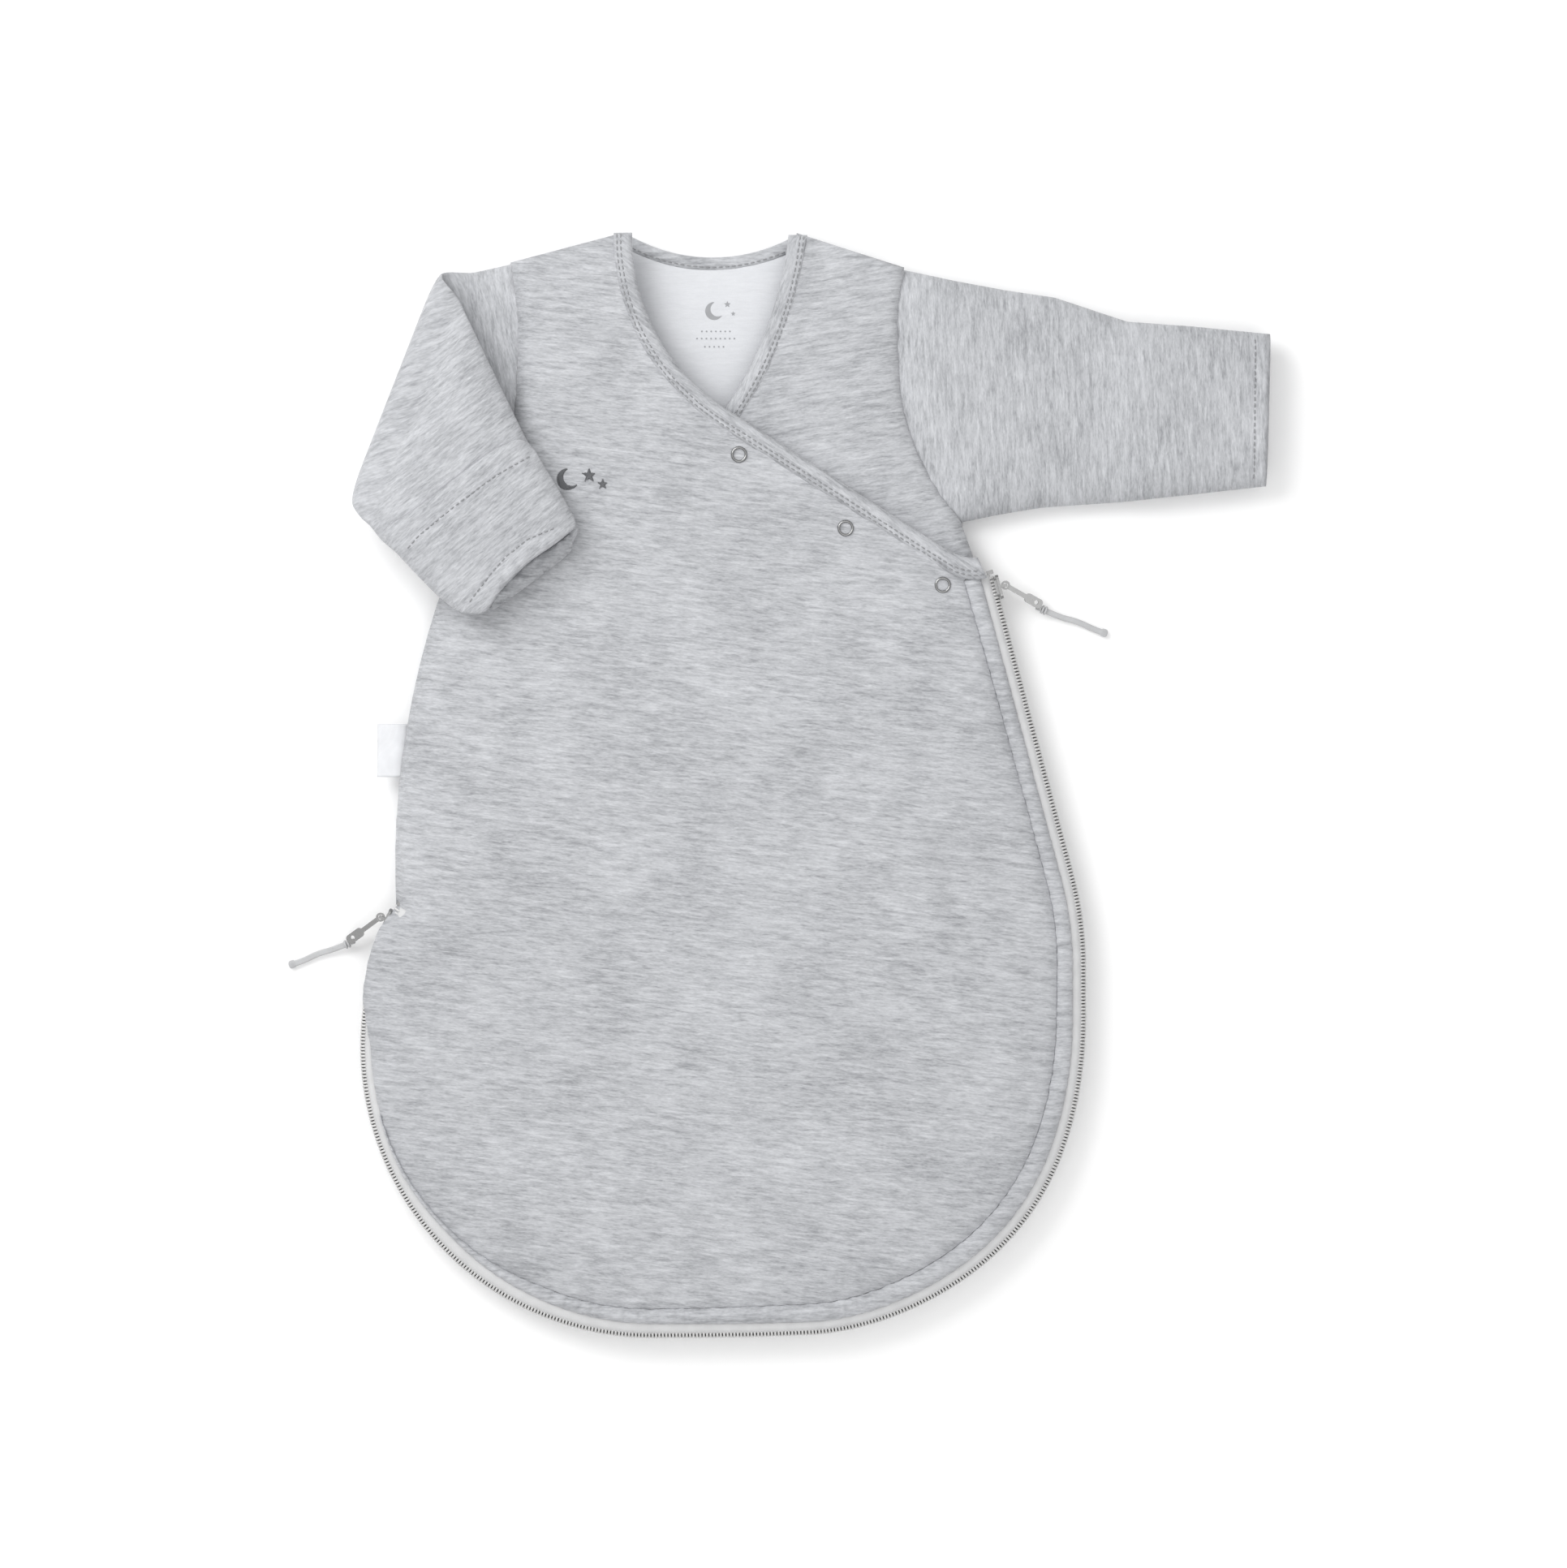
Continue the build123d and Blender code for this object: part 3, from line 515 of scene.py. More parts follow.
def fold(points, p, q, width, height):  # one soft crease from p to q
    p, q = np.array(p), np.array(q)
    d = q - p
    size = math.hypot(*d)
    t = (points - p) @ d / size**2
    side = ((points - p) @ np.array([-d[1], d[0]])) / size
    side = side + 2.5 * np.sin(3 * t)
    ends = np.clip(np.minimum(t + 0.25, 1.25 - t) * 2, 0, 1)
    return height * np.exp(-((side / width) ** 2)) * ends**2 * (3 - 2 * ends)


def panel(name, outline, upper, lower, spacing=4.0):  # upper and lower give the height at flat points
    outline = closed(outline)
    flat, faces = fillOutline(outline, spacing)
    area = sum(np.cross(flat[f[1]] - flat[f[0]], flat[f[2]] - flat[f[0]]) for f in faces[:50])
    if area < 0:
        faces = [tuple(reversed(f)) for f in faces]
    high, low = upper(flat), lower(flat)
    low = np.minimum(low, high - 0.5)
    count = len(flat)
    verts = np.concatenate([np.column_stack([flat, high]), np.column_stack([flat, low])])
    body = list(faces) + [tuple(i + count for i in reversed(f)) for f in faces]
    rims = boundaryEdges(faces)
    bulge = {}
    for a, b in rims:
        for i in (a, b):
            bulge.setdefault(i, len(verts) + len(bulge))
    middle = np.array([(verts[i] + verts[i + count]) / 2 for i in bulge])
    out = np.zeros((len(bulge), 2))
    spots = {i: k for k, i in enumerate(bulge)}
    for a, b in rims:
        d = flat[b] - flat[a]
        push = np.array([d[1], -d[0]]) / max(math.hypot(*d), 1e-9)
        out[spots[a]] += push
        out[spots[b]] += push
    out /= np.maximum(np.hypot(out[:, 0], out[:, 1]), 1e-9)[:, None]
    thick = np.array([verts[i][2] - verts[i + count][2] for i in bulge])
    middle[:, :2] += out * np.minimum(thick * 0.3, 1.2)[:, None]
    verts = np.concatenate([verts, middle])
    for a, b in rims:
        body += [(b, a, bulge[a], bulge[b]), (bulge[b], bulge[a], a + count, b + count)]
    return makeMesh(name, verts, body)


def loft(name, lineOf, profile, relief=None):  # a closed profile of (offset, height) carried along lineOf
    runs = [lineOf(n) for n, z in profile]
    count = len(runs[0])
    grid = np.stack([np.column_stack([run, np.full(count, z)]) for run, (n, z) in zip(runs, profile)], 1)
    if relief is not None:
        grid = relief(grid, lengths(runs[0]), ways(runs[0]))
    piece = makeMesh(name, grid.reshape(-1, 3), ringFaces(count, len(profile)))
    turnOut(piece)
    return piece


def turnOut(piece):  # faces look outwards
    work = bmesh.new()
    work.from_mesh(piece.data)
    bmesh.ops.recalc_face_normals(work, faces=work.faces)
    work.to_mesh(piece.data)
    work.free()


# The front: one padded cloth with the folding corner of the wrap in it
leftRun = dict(  # mm from the zip's left end, and how far out the seam and the strip's edge lie there
    at=(0, 15, 32, 50, 63, 76, 102, 126, 148, 186, 251, 400),
    seam=(0.3, 3.0, 2.2, 0.6, -3.2, -6.2, -7.0, -7.8, -9.0, -11.6, -16.4, -16.2),
    edge=(0.9, 3.5, 2.8, 1.2, -2.5, -5.4, -5.9, -6.1, -6.3, -8.4, -8.4, -7.3), stripEnd=112.0,
)


def zipSpreadLine(share, density):  # from the seam, share 0, to the strip's outer edge, share 1
    base = zipPath(0, density)
    way, along = ways(base), lengths(base)
    left = along[-1] - along
    seam = np.interp(left, leftRun["at"], leftRun["seam"]) + 1.1 * np.sin(along / 83.0)
    edge = np.interp(left, leftRun["at"], leftRun["edge"])
    out = np.stack([-way[:, 1], way[:, 0]], 1) * zipSide
    return base + out * (seam + (edge - seam) * share)[:, None], left


zipSide = 1.0
if zipSpreadLine(0, 0.4)[0][10][0] > zipPath(0)[10][0]:
    zipSide = -1.0
frontShape = dict(spacing=3.2, seam=-16.0, zipDrop=3.4, zipReach=26.0, sideDrop=10.5, sideReach=26.0,
                  armDrop=7.0, armReach=17.0, gather=0.75, gatherPeriod=9.0)
snapSpots = [(8.75, 168.3), (63.3, 130.6), (113.0, 101.5)]
wrapEdge = wrapLine(0)
zipSeam = zipSpreadLine(0, 0.5)[0]


def frontOutline():
    inner = wrapLine(wrap["binding"] * 0.5)
    seam = [p for p in zipSeam if p[1] < inner[-1][1] + 1]
    side = [p for p in leftSide if p[1] > zipSeam[-1][1] + 1]
    return np.array(seam + side + list(leftArmhole[1:]) + list(inner[:-1]))


def frontHeights(points):
    zipGap, zipAlong = nearest(points, zipSeam)
    sideGap, sideAlong = nearest(points, leftSide)
    armGap, armAlong = nearest(points, np.concatenate([leftArmhole, [bag["neckLeft"]]]))
    wrapGap, wrapAlong = nearest(points, wrapEdge)
    z = levels["frontTop"] - 0.7
    z = z - frontShape["zipDrop"] * roundOff(zipGap, frontShape["zipReach"])
    z = z - frontShape["sideDrop"] * roundOff(sideGap, frontShape["sideReach"])
    z = z - frontShape["armDrop"] * roundOff(armGap, frontShape["armReach"])
    g = frontShape["gather"]
    z = z + pucker(zipGap, zipAlong, frontShape["gatherPeriod"], g, 13, 1)
    z = z + pucker(sideGap, sideAlong, 15, 0.8 * g, 26, 2)
    z = z + pucker(armGap, armAlong, 11, 0.55 * g, 14, 3)
    z = z + pucker(wrapGap, wrapAlong, 8, 0.35 * g, 16, 4)
    z = z + 0.9 * ripple(points, 70, 1) + 0.5 * ripple(points, 30, 2) + 0.22 * ripple(points, 13, 3)
    label = np.exp(-((points[:, 1] - 17) / 24) ** 2)
    z = z + label * pucker(sideGap, sideAlong, 9, 0.9, 18, 5)
    z = z + fold(points, (100, -19), (121, -90), 9, 1.7) - fold(points, (112, -19), (133, -90), 8, 1.3)
    z = z - fold(points, (-65, -240), (-42, -265), 4, 1.6) + fold(points, (-58, -238), (-33, -262), 5, 0.9)
    z = z + fold(points, (-60, 60), (40, 20), 16, 0.7) - fold(points, (-130, -120), (-60, -180), 14, 0.8)
    for spot in snapSpots:
        reach = np.hypot(*(points - np.array(spot)).T)
        z = z - 1.5 * np.exp(-((reach / 9.5) ** 2)) + 0.45 * np.exp(-(((reach - 14) / 5) ** 2))
        dx, dy = (points - np.array(spot)).T
        z = z + 0.3 * np.exp(-((reach / 20) ** 2)) * np.sin(5 * np.arctan2(dy, dx) + 1.3) * np.clip(reach / 9, 0, 1)
    return z


def frontUnder(points):
    sideGap, _ = nearest(points, leftSide)
    armGap, _ = nearest(points, np.concatenate([leftArmhole, [bag["neckLeft"]]]))
    low = levels["frontLow"] + 0.3 - 5.6 * roundOff(sideGap, frontShape["sideReach"])
    zipGap, _ = nearest(points, zipSeam)
    return low - 1.8 * roundOff(armGap, 12) + 1.6 * roundOff(zipGap, 8)


frontPanel = panel("frontPanel", frontOutline(), frontHeights, frontUnder, frontShape["spacing"])
setKnit(frontPanel, -6)
print("front panel made")

# The back: jersey outside, white lining inside
backShape = dict(spacing=5.0, reach=30.0, shellTop=5.7, liningTop=6.55)


def backOutline():
    seam = zipPath(frontShape["seam"], 0.4)
    side = [p for p in leftSide if p[1] > seam[-1][1] + 1]
    neck = bowRun(bag["neckLeft"], ((bag["neckLeft"][0] + bag["neckRight"][0]) / 2, bag["neckDip"]),
                  bag["neckRight"], 30) - np.array([0.0, 3.4])
    right = list(reversed(rightArmhole))
    return np.array(list(seam) + side + list(leftArmhole[1:]) + list(neck) + right)


def backRise(points):
    seam = np.concatenate([zipPath(frontShape["seam"], 0.4), leftSide])
    gap, along = nearest(points, seam)
    return roundOff(gap, backShape["reach"]), pucker(gap, along, 10, 0.6, 14, 6)


def backUnder(points):
    rise, gather = backRise(points)
    return 0.4 + 3.6 * rise + np.abs(gather) + 0.25 * (1 + ripple(points, 50, 8)) * (1 - rise)


def linerTop(points):
    return backShape["liningTop"] + 0.45 * ripple(points, 40, 9) + 0.25 * ripple(points, 15, 10)


backPanel = panel("backPanel", backOutline(), level(backShape["shellTop"]), backUnder, backShape["spacing"])
setKnit(backPanel, 0)
backLiner = panel("backLiner", backOutline(), linerTop, level(backShape["shellTop"] + 0.05), backShape["spacing"])
setKnit(backLiner, 0)

sideShape = dict(low=4.6, high=14.2, bow=0.5, deep=2.0)


def sideBand(name, run):  # joins the back and the front along the closed side
    low, high, bow, deep = (sideShape[k] for k in ("low", "high", "bow", "deep"))
    way = ways(run)
    out = np.stack([-way[:, 1], way[:, 0]], 1)
    if out[len(out) // 2][0] > 0:
        out = -out
    profile = [(-0.6, low), (bow * 0.5, low + 2.2), (bow, (low + high) / 2), (bow * 0.4, high - 1.6), (-0.8, high),
               (-deep, high - 0.6), (-deep, low + 0.6)]
    piece = loft(name, lambda n: run + out * n, profile)
    setKnit(piece, -6)
    return piece


sideSeam = sideBand("leftSideSeam", np.array(leftSide))
dress(sideSeam, marl, "bag", "jersey")

# The under wrap, seen at the right shoulder
underShape = dict(spacing=3.2)
underEdge = underLine(0)


def underOutline():
    edge = [p for p in underLine(under["binding"] * 0.5) if p[1] > 106]
    return np.array(edge + [(131.0, 104.6), (sideFoot[0] - 0.6, sideFoot[1])] + list(rightArmhole) + [edge[0]])


def underHeights(points):
    armGap, armAlong = nearest(points, np.concatenate([rightArmhole, [bag["neckRight"]]]))
    edgeGap, edgeAlong = nearest(points, underEdge)
    sideGap, sideAlong = nearest(points, lineRun(sideFoot, bag["armpitRight"], 8))
    z = levels["underTop"] - 0.4 - 2.4 * roundOff(armGap, 15) - 3.6 * roundOff(sideGap, 11)
    z = z + pucker(armGap, armAlong, 10, 0.5, 12, 11) + pucker(edgeGap, edgeAlong, 9, 0.3, 12, 12)
    return z + 0.5 * ripple(points, 35, 13) + 0.2 * ripple(points, 14, 14)


underWrap = panel("underWrap", underOutline(), underHeights, level(levels["underLow"]), underShape["spacing"])
setKnit(underWrap, 8)
dress(frontPanel, marl, None, "jersey", "front_shell", "front_wadding", "front_lining", "flap_shell", "flap_wadding",
      "flap_lining")
dress(backPanel, marl, "bag", "jersey", "back_shell", "back_wadding")
dress(underWrap, marl, "bag", "jersey", "under_wrap_shell", "under_wrap_wadding", "under_wrap_lining")
dress(backLiner, liningJersey, "bag", "lining", "back_lining")
print("panels made")

# Border strips, gathered along the zip
borderShape = dict(inner=-16.6, outer=-7.3, puckerPeriod=6.2, puckerHeight=0.62, edgeWave=0.35)


def gathered(period, height, edge, seed, sign=1):
    def relief(grid, along, way):
        count, size, _ = grid.shape
        beat = np.array([noise.noise(Vector((s / 5.1, seed * 2.3, 0))) for s in along])
        slow = np.array([noise.noise(Vector((s / 23.0, seed * 4.9, 3))) for s in along])
        wave = np.sin(2 * math.pi * along / period + 4.5 * slow + 2.2 * beat) * (0.6 + 0.8 * slow) + 0.5 * beat
        side = np.stack([way[:, 1], -way[:, 0]], 1)
        for j in range(size):
            share = j / (size - 1)
            grid[:, j, 2] += sign * height * wave * math.sin(math.pi * min(1, 0.12 + share * 1.2)) ** 0.6
            grid[:, j, :2] += side * (edge * wave)[:, None] * share
        return grid
    return relief


def borderStrip(name, rise, sign, seed):
    near, far = borderShape["inner"], borderShape["outer"]
    spread = [(0.0, 0.2), (0.08, 1.15), (0.25, 2.2), (0.5, 2.7), (0.75, 2.3), (0.92, 1.4), (1.0, 0.3),
              (0.9, -0.5), (0.5, 0.6), (0.1, -0.4)]
    profile = [(u, rise + sign * z) for u, z in spread]

    def line(share):
        run, left = zipSpreadLine(share, 0.95)
        return run[left > leftRun["stripEnd"]] if sign > 0 else zipPath(near + (far - near) * share, 0.95)

    relief = gathered(borderShape["puckerPeriod"], borderShape["puckerHeight"], borderShape["edgeWave"], seed, sign)
    piece = loft(name, line, profile, relief)
    setKnit(piece, 0)
    return piece


frontBorder = borderStrip("frontBorder", 20.2, 1, 21)
backBorder = borderStrip("backBorder", 4.6, -1, 22)
dress(frontBorder, marl, "bag", "jersey", "front_zip_border")
dress(backBorder, marl, "bag", "jersey", "back_zip_border")

# Zip: woven tapes and a row of teeth on each
zipShape = dict(tapeThick=0.7, pitch=1.75)


def tapeStrip(name, levelsAcross, sign):
    thick = zipShape["tapeThick"]
    profile = [(n, z) for n, z in levelsAcross] + [(n, z - sign * thick) for n, z in reversed(levelsAcross)]
    piece = loft(name, lambda n: zipPath(n, 0.6), profile)
    setKnit(piece, 0)
    return piece


frontTape = tapeStrip("frontTape", [(-11.8, 19.9), (-9, 19.9), (-7.2, 19.8), (-5.4, 19.6), (-4.0, 19.0), (-2.9, 17.8),
                                    (-2.3, 15.6)], 1)
backTape = tapeStrip("backTape", [(-11.8, 5.3), (-9, 5.3), (-7.2, 5.4), (-5.4, 5.6), (-4.0, 6.2), (-2.9, 7.4),
                                  (-2.3, 9.6)], -1)
dress(frontTape, tapeCloth, "bag", "zip_tape", "front_zip_tape")
dress(backTape, tapeCloth, "bag", "zip_tape", "back_zip_tape")


def beads(name, run, shape, pitch, start, sides=6):  # one bent bar at each step along a run
    way, along = np.gradient(run, axis=0), lengths(run)
    stops = np.arange(start, along[-1] - 1, pitch)
    px, py, wx, wy = (np.interp(stops, along, values) for values in (*run.T, *way.T))
    size = np.hypot(wx, wy)
    wx, wy = wx / size, wy / size
    verts, faces = [], []
    for x, y, tx, ty in zip(px, py, wx, wy):
        nx, ny = -ty, tx
        first = len(verts)
        for n, z, wide, lean in shape:
            for k in range(sides):
                a = 2 * math.pi * (k + 0.5) / sides
                s, up = wide * math.cos(a), wide * math.sin(a)
                q = n + up * lean
                verts.append((x + nx * q + tx * s, y + ny * q + ty * s, z + up * (1 - abs(lean))))
        faces += ringFaces(len(shape), sides, first)
    piece = makeMesh(name, verts, faces)
    turnOut(piece)
    return piece


toothLine = zipPath(0, 1.0)
forward, outward = zipPath(0)[6] - zipPath(0)[5], zipPath(5)[5] - zipPath(0)[5]
toothSide = 1 if outward @ np.array([-forward[1], forward[0]]) > 0 else -1
toothFront = [(-3.1, 18.0, 0.45, 0.3), (-2.2, 17.3, 0.6, 0.5), (-1.2, 16.0, 0.66, 0.6), (-0.6, 14.2, 0.72, 0.8),
              (-0.5, 12.6, 0.5, 0.9)]
toothBack = [(n, levels["frontTop"] - z, wide, -lean) for n, z, wide, lean in toothFront]
for name, shape, start, node in (("frontTeeth", toothFront, 2.0, "front_zip_coil"),
                                 ("backTeeth", toothBack, 2.0 + zipShape["pitch"] / 2, "back_zip_coil")):
    shape = [(toothSide * n, z, wide, lean * toothSide) for n, z, wide, lean in shape]
    row = beads(name, toothLine, shape, zipShape["pitch"], start)
    setKnit(row, 0)
    dress(row, coilNylon, "bag", "zip_coil", node)
print("zip made")

# Bindings
bindingShape = dict(wave=0.18)


def bindingRelief(seed, amount):
    def relief(grid, along, way):
        for j in range(grid.shape[1]):
            wave = np.array([noise.noise(Vector((s / 7.0, j * 0.35, seed))) for s in along])
            slow = np.array([noise.noise(Vector((s / 24.0, j * 0.1, seed + 5))) for s in along])
            grid[:, j, 2] += amount * wave + 1.4 * amount * slow
            middle = grid[0, :, 2].mean()
            grid[:, j, 2] -= (grid[:, j, 2] - middle + 2.0) * 0.75 * roundOff(along, 5.0)
        return grid
    return relief


def offsetRun(run, inset):
    way = ways(run)
    return run + np.stack([way[:, 1], -way[:, 0]], 1) * inset


wide = wrap["binding"]
rounded = [(0.0, 22.0), (0.25, 24.0), (1.0, 25.2), (2.4, 25.75), (wide * 0.5, 25.95), (wide - 1.9, 25.7),
           (wide - 0.9, 25.2), (wide - 0.1, 24.2), (wide, 23.2), (wide - 0.6, 19.3), (2.2, 18.75), (0.7, 19.5)]
wrapBinding = loft("wrapBinding", lambda n: wrapLine(n, 110, 90), rounded, bindingRelief(31, bindingShape["wave"]))
setKnit(wrapBinding, -35)
thin = under["binding"]
underRound = [(-0.1, 15.0), (0.2, 16.8), (1.0, 17.9), (2.4, 18.2), (thin * 0.5, 18.3), (thin - 1.8, 18.2),
              (thin - 0.8, 17.9), (thin, 16.6), (thin - 0.6, 12.2), (2.0, 11.7), (0.6, 12.8)]


def underRun(n):
    return underLine(n, 130)


underBinding = loft("underBinding", underRun, underRound, bindingRelief(32, 0.12))
setKnit(underBinding, 70)
neckRun = bowRun(bag["neckLeft"], ((bag["neckLeft"][0] + bag["neckRight"][0]) / 2, bag["neckDip"]),
                 bag["neckRight"], 60)
neckRound = [(0.0, 3.6), (0.3, 6.0), (1.1, 7.3), (3.4, 7.7), (5.8, 7.35), (6.9, 6.6), (6.9, 0.9), (5.6, 0.2),
             (3.4, 0.0), (1.1, 0.3), (0.2, 1.6)]
backNeckBinding = loft("backNeckBinding", lambda n: offsetRun(neckRun, n), neckRound, bindingRelief(33, 0.1))
setKnit(backNeckBinding, 0)
dress(wrapBinding, bindingJersey, None, "jersey", "wrap_neck_binding", "flap_binding")
dress(underBinding, bindingJersey, "bag", "jersey", "under_wrap_binding")
dress(backNeckBinding, bindingJersey, "bag", "jersey", "back_neck_binding")
print("bindings made")

# Sleeves: flat padded tubes with an open cuff
sleeveShape = dict(reach=19.0, around=72, step=3.2, pocket=17.0)
leftCrease = (np.array([-140.4, 259.2]), np.array([-185.4, 143.8]))
creaseWay = (leftCrease[1] - leftCrease[0]) / np.hypot(*(leftCrease[1] - leftCrease[0]))
creaseOut = np.array([creaseWay[1], -creaseWay[0]])
creaseOut *= np.sign(creaseOut @ np.array([-1.0, 0.3]))


def overCrease(points):  # mirrors folded places to where they lie unfolded
    points = np.array(points, float)
    return points - 2 * ((points - leftCrease[0]) @ creaseOut)[:, None] * creaseOut


def sleeveTube(name, edgeA, edgeB, heights, relief, lipShift):
    a, b = [], []
    for runA, runB in zip(edgeA, edgeB):
        size = max(lengths(np.array(run, float))[-1] for run in (runA, runB))
        steps = int(size / sleeveShape["step"]) + 1
        a.append(resample(runA, steps)[1 if a else 0:])
        b.append(resample(runB, steps)[1 if b else 0:])
    a, b = np.concatenate(a), np.concatenate(b)
    count = len(a)
    around = sleeveShape["around"]
    turn = 2 * math.pi * np.arange(around) / around
    c, top = np.cos(turn), np.sin(turn) >= 0
    pocket = sleeveShape["pocket"]
    rings = [(i, 0.0, 0.0, 1.0) for i in range(count)]
    rings += [(count - 1, -0.6, 0.9, 0.55), (count - 1, -2.5, 1.5, 0.4), (count - 1, -pocket, 1.6, 0.4)]
    verts = []
    for i, back, thinner, part in rings:
        mid, half = (a[i] + b[i]) / 2, (a[i] - b[i]) / 2
        wide = np.hypot(*half)
        low, high = heights(mid)
        centre, tall = (low + high) / 2, (high - low) / 2
        gap = (1 - np.abs(c)) * wide
        swell = np.sqrt(np.clip(1 - (1 - np.clip(gap / sleeveShape["reach"], 0, 1)) ** 2, 0, 1))
        spot = mid + half * c[:, None] * (1 - thinner * 1.6 / wide)
        if i == count - 1:
            out = a[-1] + b[-1] - a[-2] - b[-2]
            out = out / np.hypot(*out)
            bell = np.clip(1 - c**2, 0, 1)
            spot = spot + out * back
            spot = spot - out * (lipShift * np.sqrt(bell) * top - 0.2 * lipShift * bell * ~top)[:, None]
        up = relief(spot, gap)
        over = centre + swell * tall * part + up * swell * part
        below = centre - swell * tall * part + 0.4 * up * swell
        z = np.where(top, over, below)
        verts += list(np.column_stack([spot, z]))
    piece = makeMesh(name, verts, ringFaces(len(rings), around))
    turnOut(piece)
    return piece


rightCrease = 208.3
rightRise = dict(start=84, reach=30, low=0.2, high=12.5, more=3.5, liftFrom=196, liftOver=24, lift=2.9, hem=272.8)


def rightHeights(mid):
    lift = rightRise["lift"] * smoothly((mid[0] - rightRise["liftFrom"]) / rightRise["liftOver"])
    start = np.clip((mid[0] - rightRise["start"]) / rightRise["reach"], 0, 1)
    return rightRise["low"] + lift, rightRise["high"] + rightRise["more"] * start + lift


def rightRelief(points, gap):
    armGap, armAlong = nearest(points, rightArmhole)
    z = pucker(armGap, armAlong, 10, 0.7, 15, 41) + 0.9 * ripple(points, 45, 42) + 0.4 * ripple(points, 18, 43)
    hemGap = np.abs(points[:, 0] - rightRise["hem"])
    z = z - 0.8 * np.exp(-((hemGap / 2.4) ** 2))
    z = z + fold(points, (150, 170), (200, 200), 10, 0.8) + fold(points, (190, 160), (215, 215), 7, 0.6)
    return z + pucker(hemGap, points[:, 1], 7, 0.3, 8, 44)


rightTop = [[(62, 268), (92.5, 264.2)], [(92.5, 264.2), (120, 258.3), (146, 253.5), (171, 249.8), (190, 243.5),
            (208.3, 237.3)], [(208.3, 237.3), (224, 236.0), (240, 234.9), (281.5, 230.8)]]
rightLow = [[(96, 128), (122.5, 134)], [(122.5, 134), (143, 138.2), (164.6, 141.7), (186, 143.2), (208.3, 144.7)],
            [(208.3, 144.7), (240, 148.1), (279.4, 152.5)]]
rightSleeve = sleeveTube("rightSleeve", rightTop, rightLow, rightHeights, rightRelief, 0.0)
setKnit(rightSleeve, 92)
leftFoldedTop = [(-140.4, 259.2), (-137.9, 254.4), (-119, 215), (-100.4, 176.7), (-86, 152), (-80.4, 143.8),
                 (-73.3, 130.4)]
leftFoldedLow = [(-185.4, 143.8), (-181.7, 134.2), (-173.8, 124), (-159.2, 111.7), (-147, 98.6), (-133.8, 87.1)]
leftTop = [[(-96, 269), (-108.3, 267)], [(-108.3, 267), (-124, 263.4), (-140.4, 259.2)],
           list(overCrease(leftFoldedTop))]
leftLow = [[(-112, 130), (-130, 134)], [(-130, 134), (-158, 138.6), (-185.4, 143.8)], list(overCrease(leftFoldedLow))]


leftRise = dict(low=0.2, high=15.6, lowMore=2.7, highMore=3.3, pinch=13.0, pinchLow=16.6, pinchHigh=21.4)


def leftHeights(mid):
    d = (mid - leftCrease[0]) @ creaseOut
    pinch = math.exp(-((d / leftRise["pinch"]) ** 2))
    forearm = np.clip((d + 8) / 16, 0, 1)
    low = leftRise["low"] + leftRise["lowMore"] * forearm
    high = leftRise["high"] + leftRise["highMore"] * forearm
    return (low + (leftRise["pinchLow"] - low) * pinch), (high + (leftRise["pinchHigh"] - high) * pinch)


def leftRelief(points, gap):
    d = (points - leftCrease[0]) @ creaseOut
    armGap, armAlong = nearest(points, leftArmhole)
    z = pucker(armGap, armAlong, 10, 0.7, 15, 51) + 1.3 * ripple(points, 42, 52) + 0.5 * ripple(points, 17, 53)
    z = z + 1.1 * drawn(points, -30, 46, 15, 55)
    along = (points - leftCrease[0]) @ creaseWay
    calm = np.clip(np.abs(d) / 14, 0, 1)
    return z * calm + pucker(np.abs(d), along, 14, 0.9, 22, 54) * calm


leftSleeve = sleeveTube("leftSleeve", leftTop, leftLow, leftHeights, leftRelief, -8.0)
setKnit(leftSleeve, 100)
cuffHinge = dict(point=(-162.9, 201.5, 22.55), band=(-11.0, 11.0))


def foldLeft(piece):  # turns the forearm over onto the upper sleeve, and keeps each point's share of the turn
    spots = np.array([v.co for v in piece.data.vertices]) / mm
    origin = np.array(cuffHinge["point"])
    axis = np.array([creaseWay[0], creaseWay[1], 0.0])
    d = (spots[:, :2] - leftCrease[0]) @ creaseOut
    first, last = cuffHinge["band"]
    share = smoothly((d - first) / (last - first))
    out = np.array([creaseOut[0], creaseOut[1], 0.0])
    rel = spots - origin
    a = rel @ axis
    u = rel @ out
    h = rel[:, 2]
    turn = share * math.pi
    u2 = u * np.cos(turn) - h * np.sin(turn)
    h2 = u * np.sin(turn) + h * np.cos(turn)
    folded = origin + a[:, None] * axis + u2[:, None] * out
    folded[:, 2] = origin[2] + h2
    piece.data.vertices.foreach_set("co", (folded * mm).ravel())
    piece.data.update()
    return share


leftShare = foldLeft(leftSleeve)
for piece, side in ((leftSleeve, "left"), (rightSleeve, "right")):
    dress(piece, marl, None, "jersey", *(f"{side}_{part}_{layer}" for part in ("upper_sleeve", "forearm")
                                         for layer in ("shell", "wadding", "lining")))
print("sleeves made")

# Turned-back mitts at the cuffs
mittShape = dict(thick=2.3, forearmTop=42.1, forearmMid=34.2, rightTop=2.6, spacing=3.0)
leftMittLine = [(-74.0, 131.6), (-80.9, 144.3), (-87.5, 155.5), (-97.5, 172.5), (-104.5, 174.8), (-115, 169.6),
                (-130, 158.9), (-147, 145.4), (-159.6, 136.5), (-170.6, 130.0), (-171.5, 124.6), (-159.2, 111.4),
                (-147, 98.3), (-133.9, 87.4), (-121.0, 86.2), (-113.5, 98.0), (-98.9, 112.8), (-84.0, 123.0)]


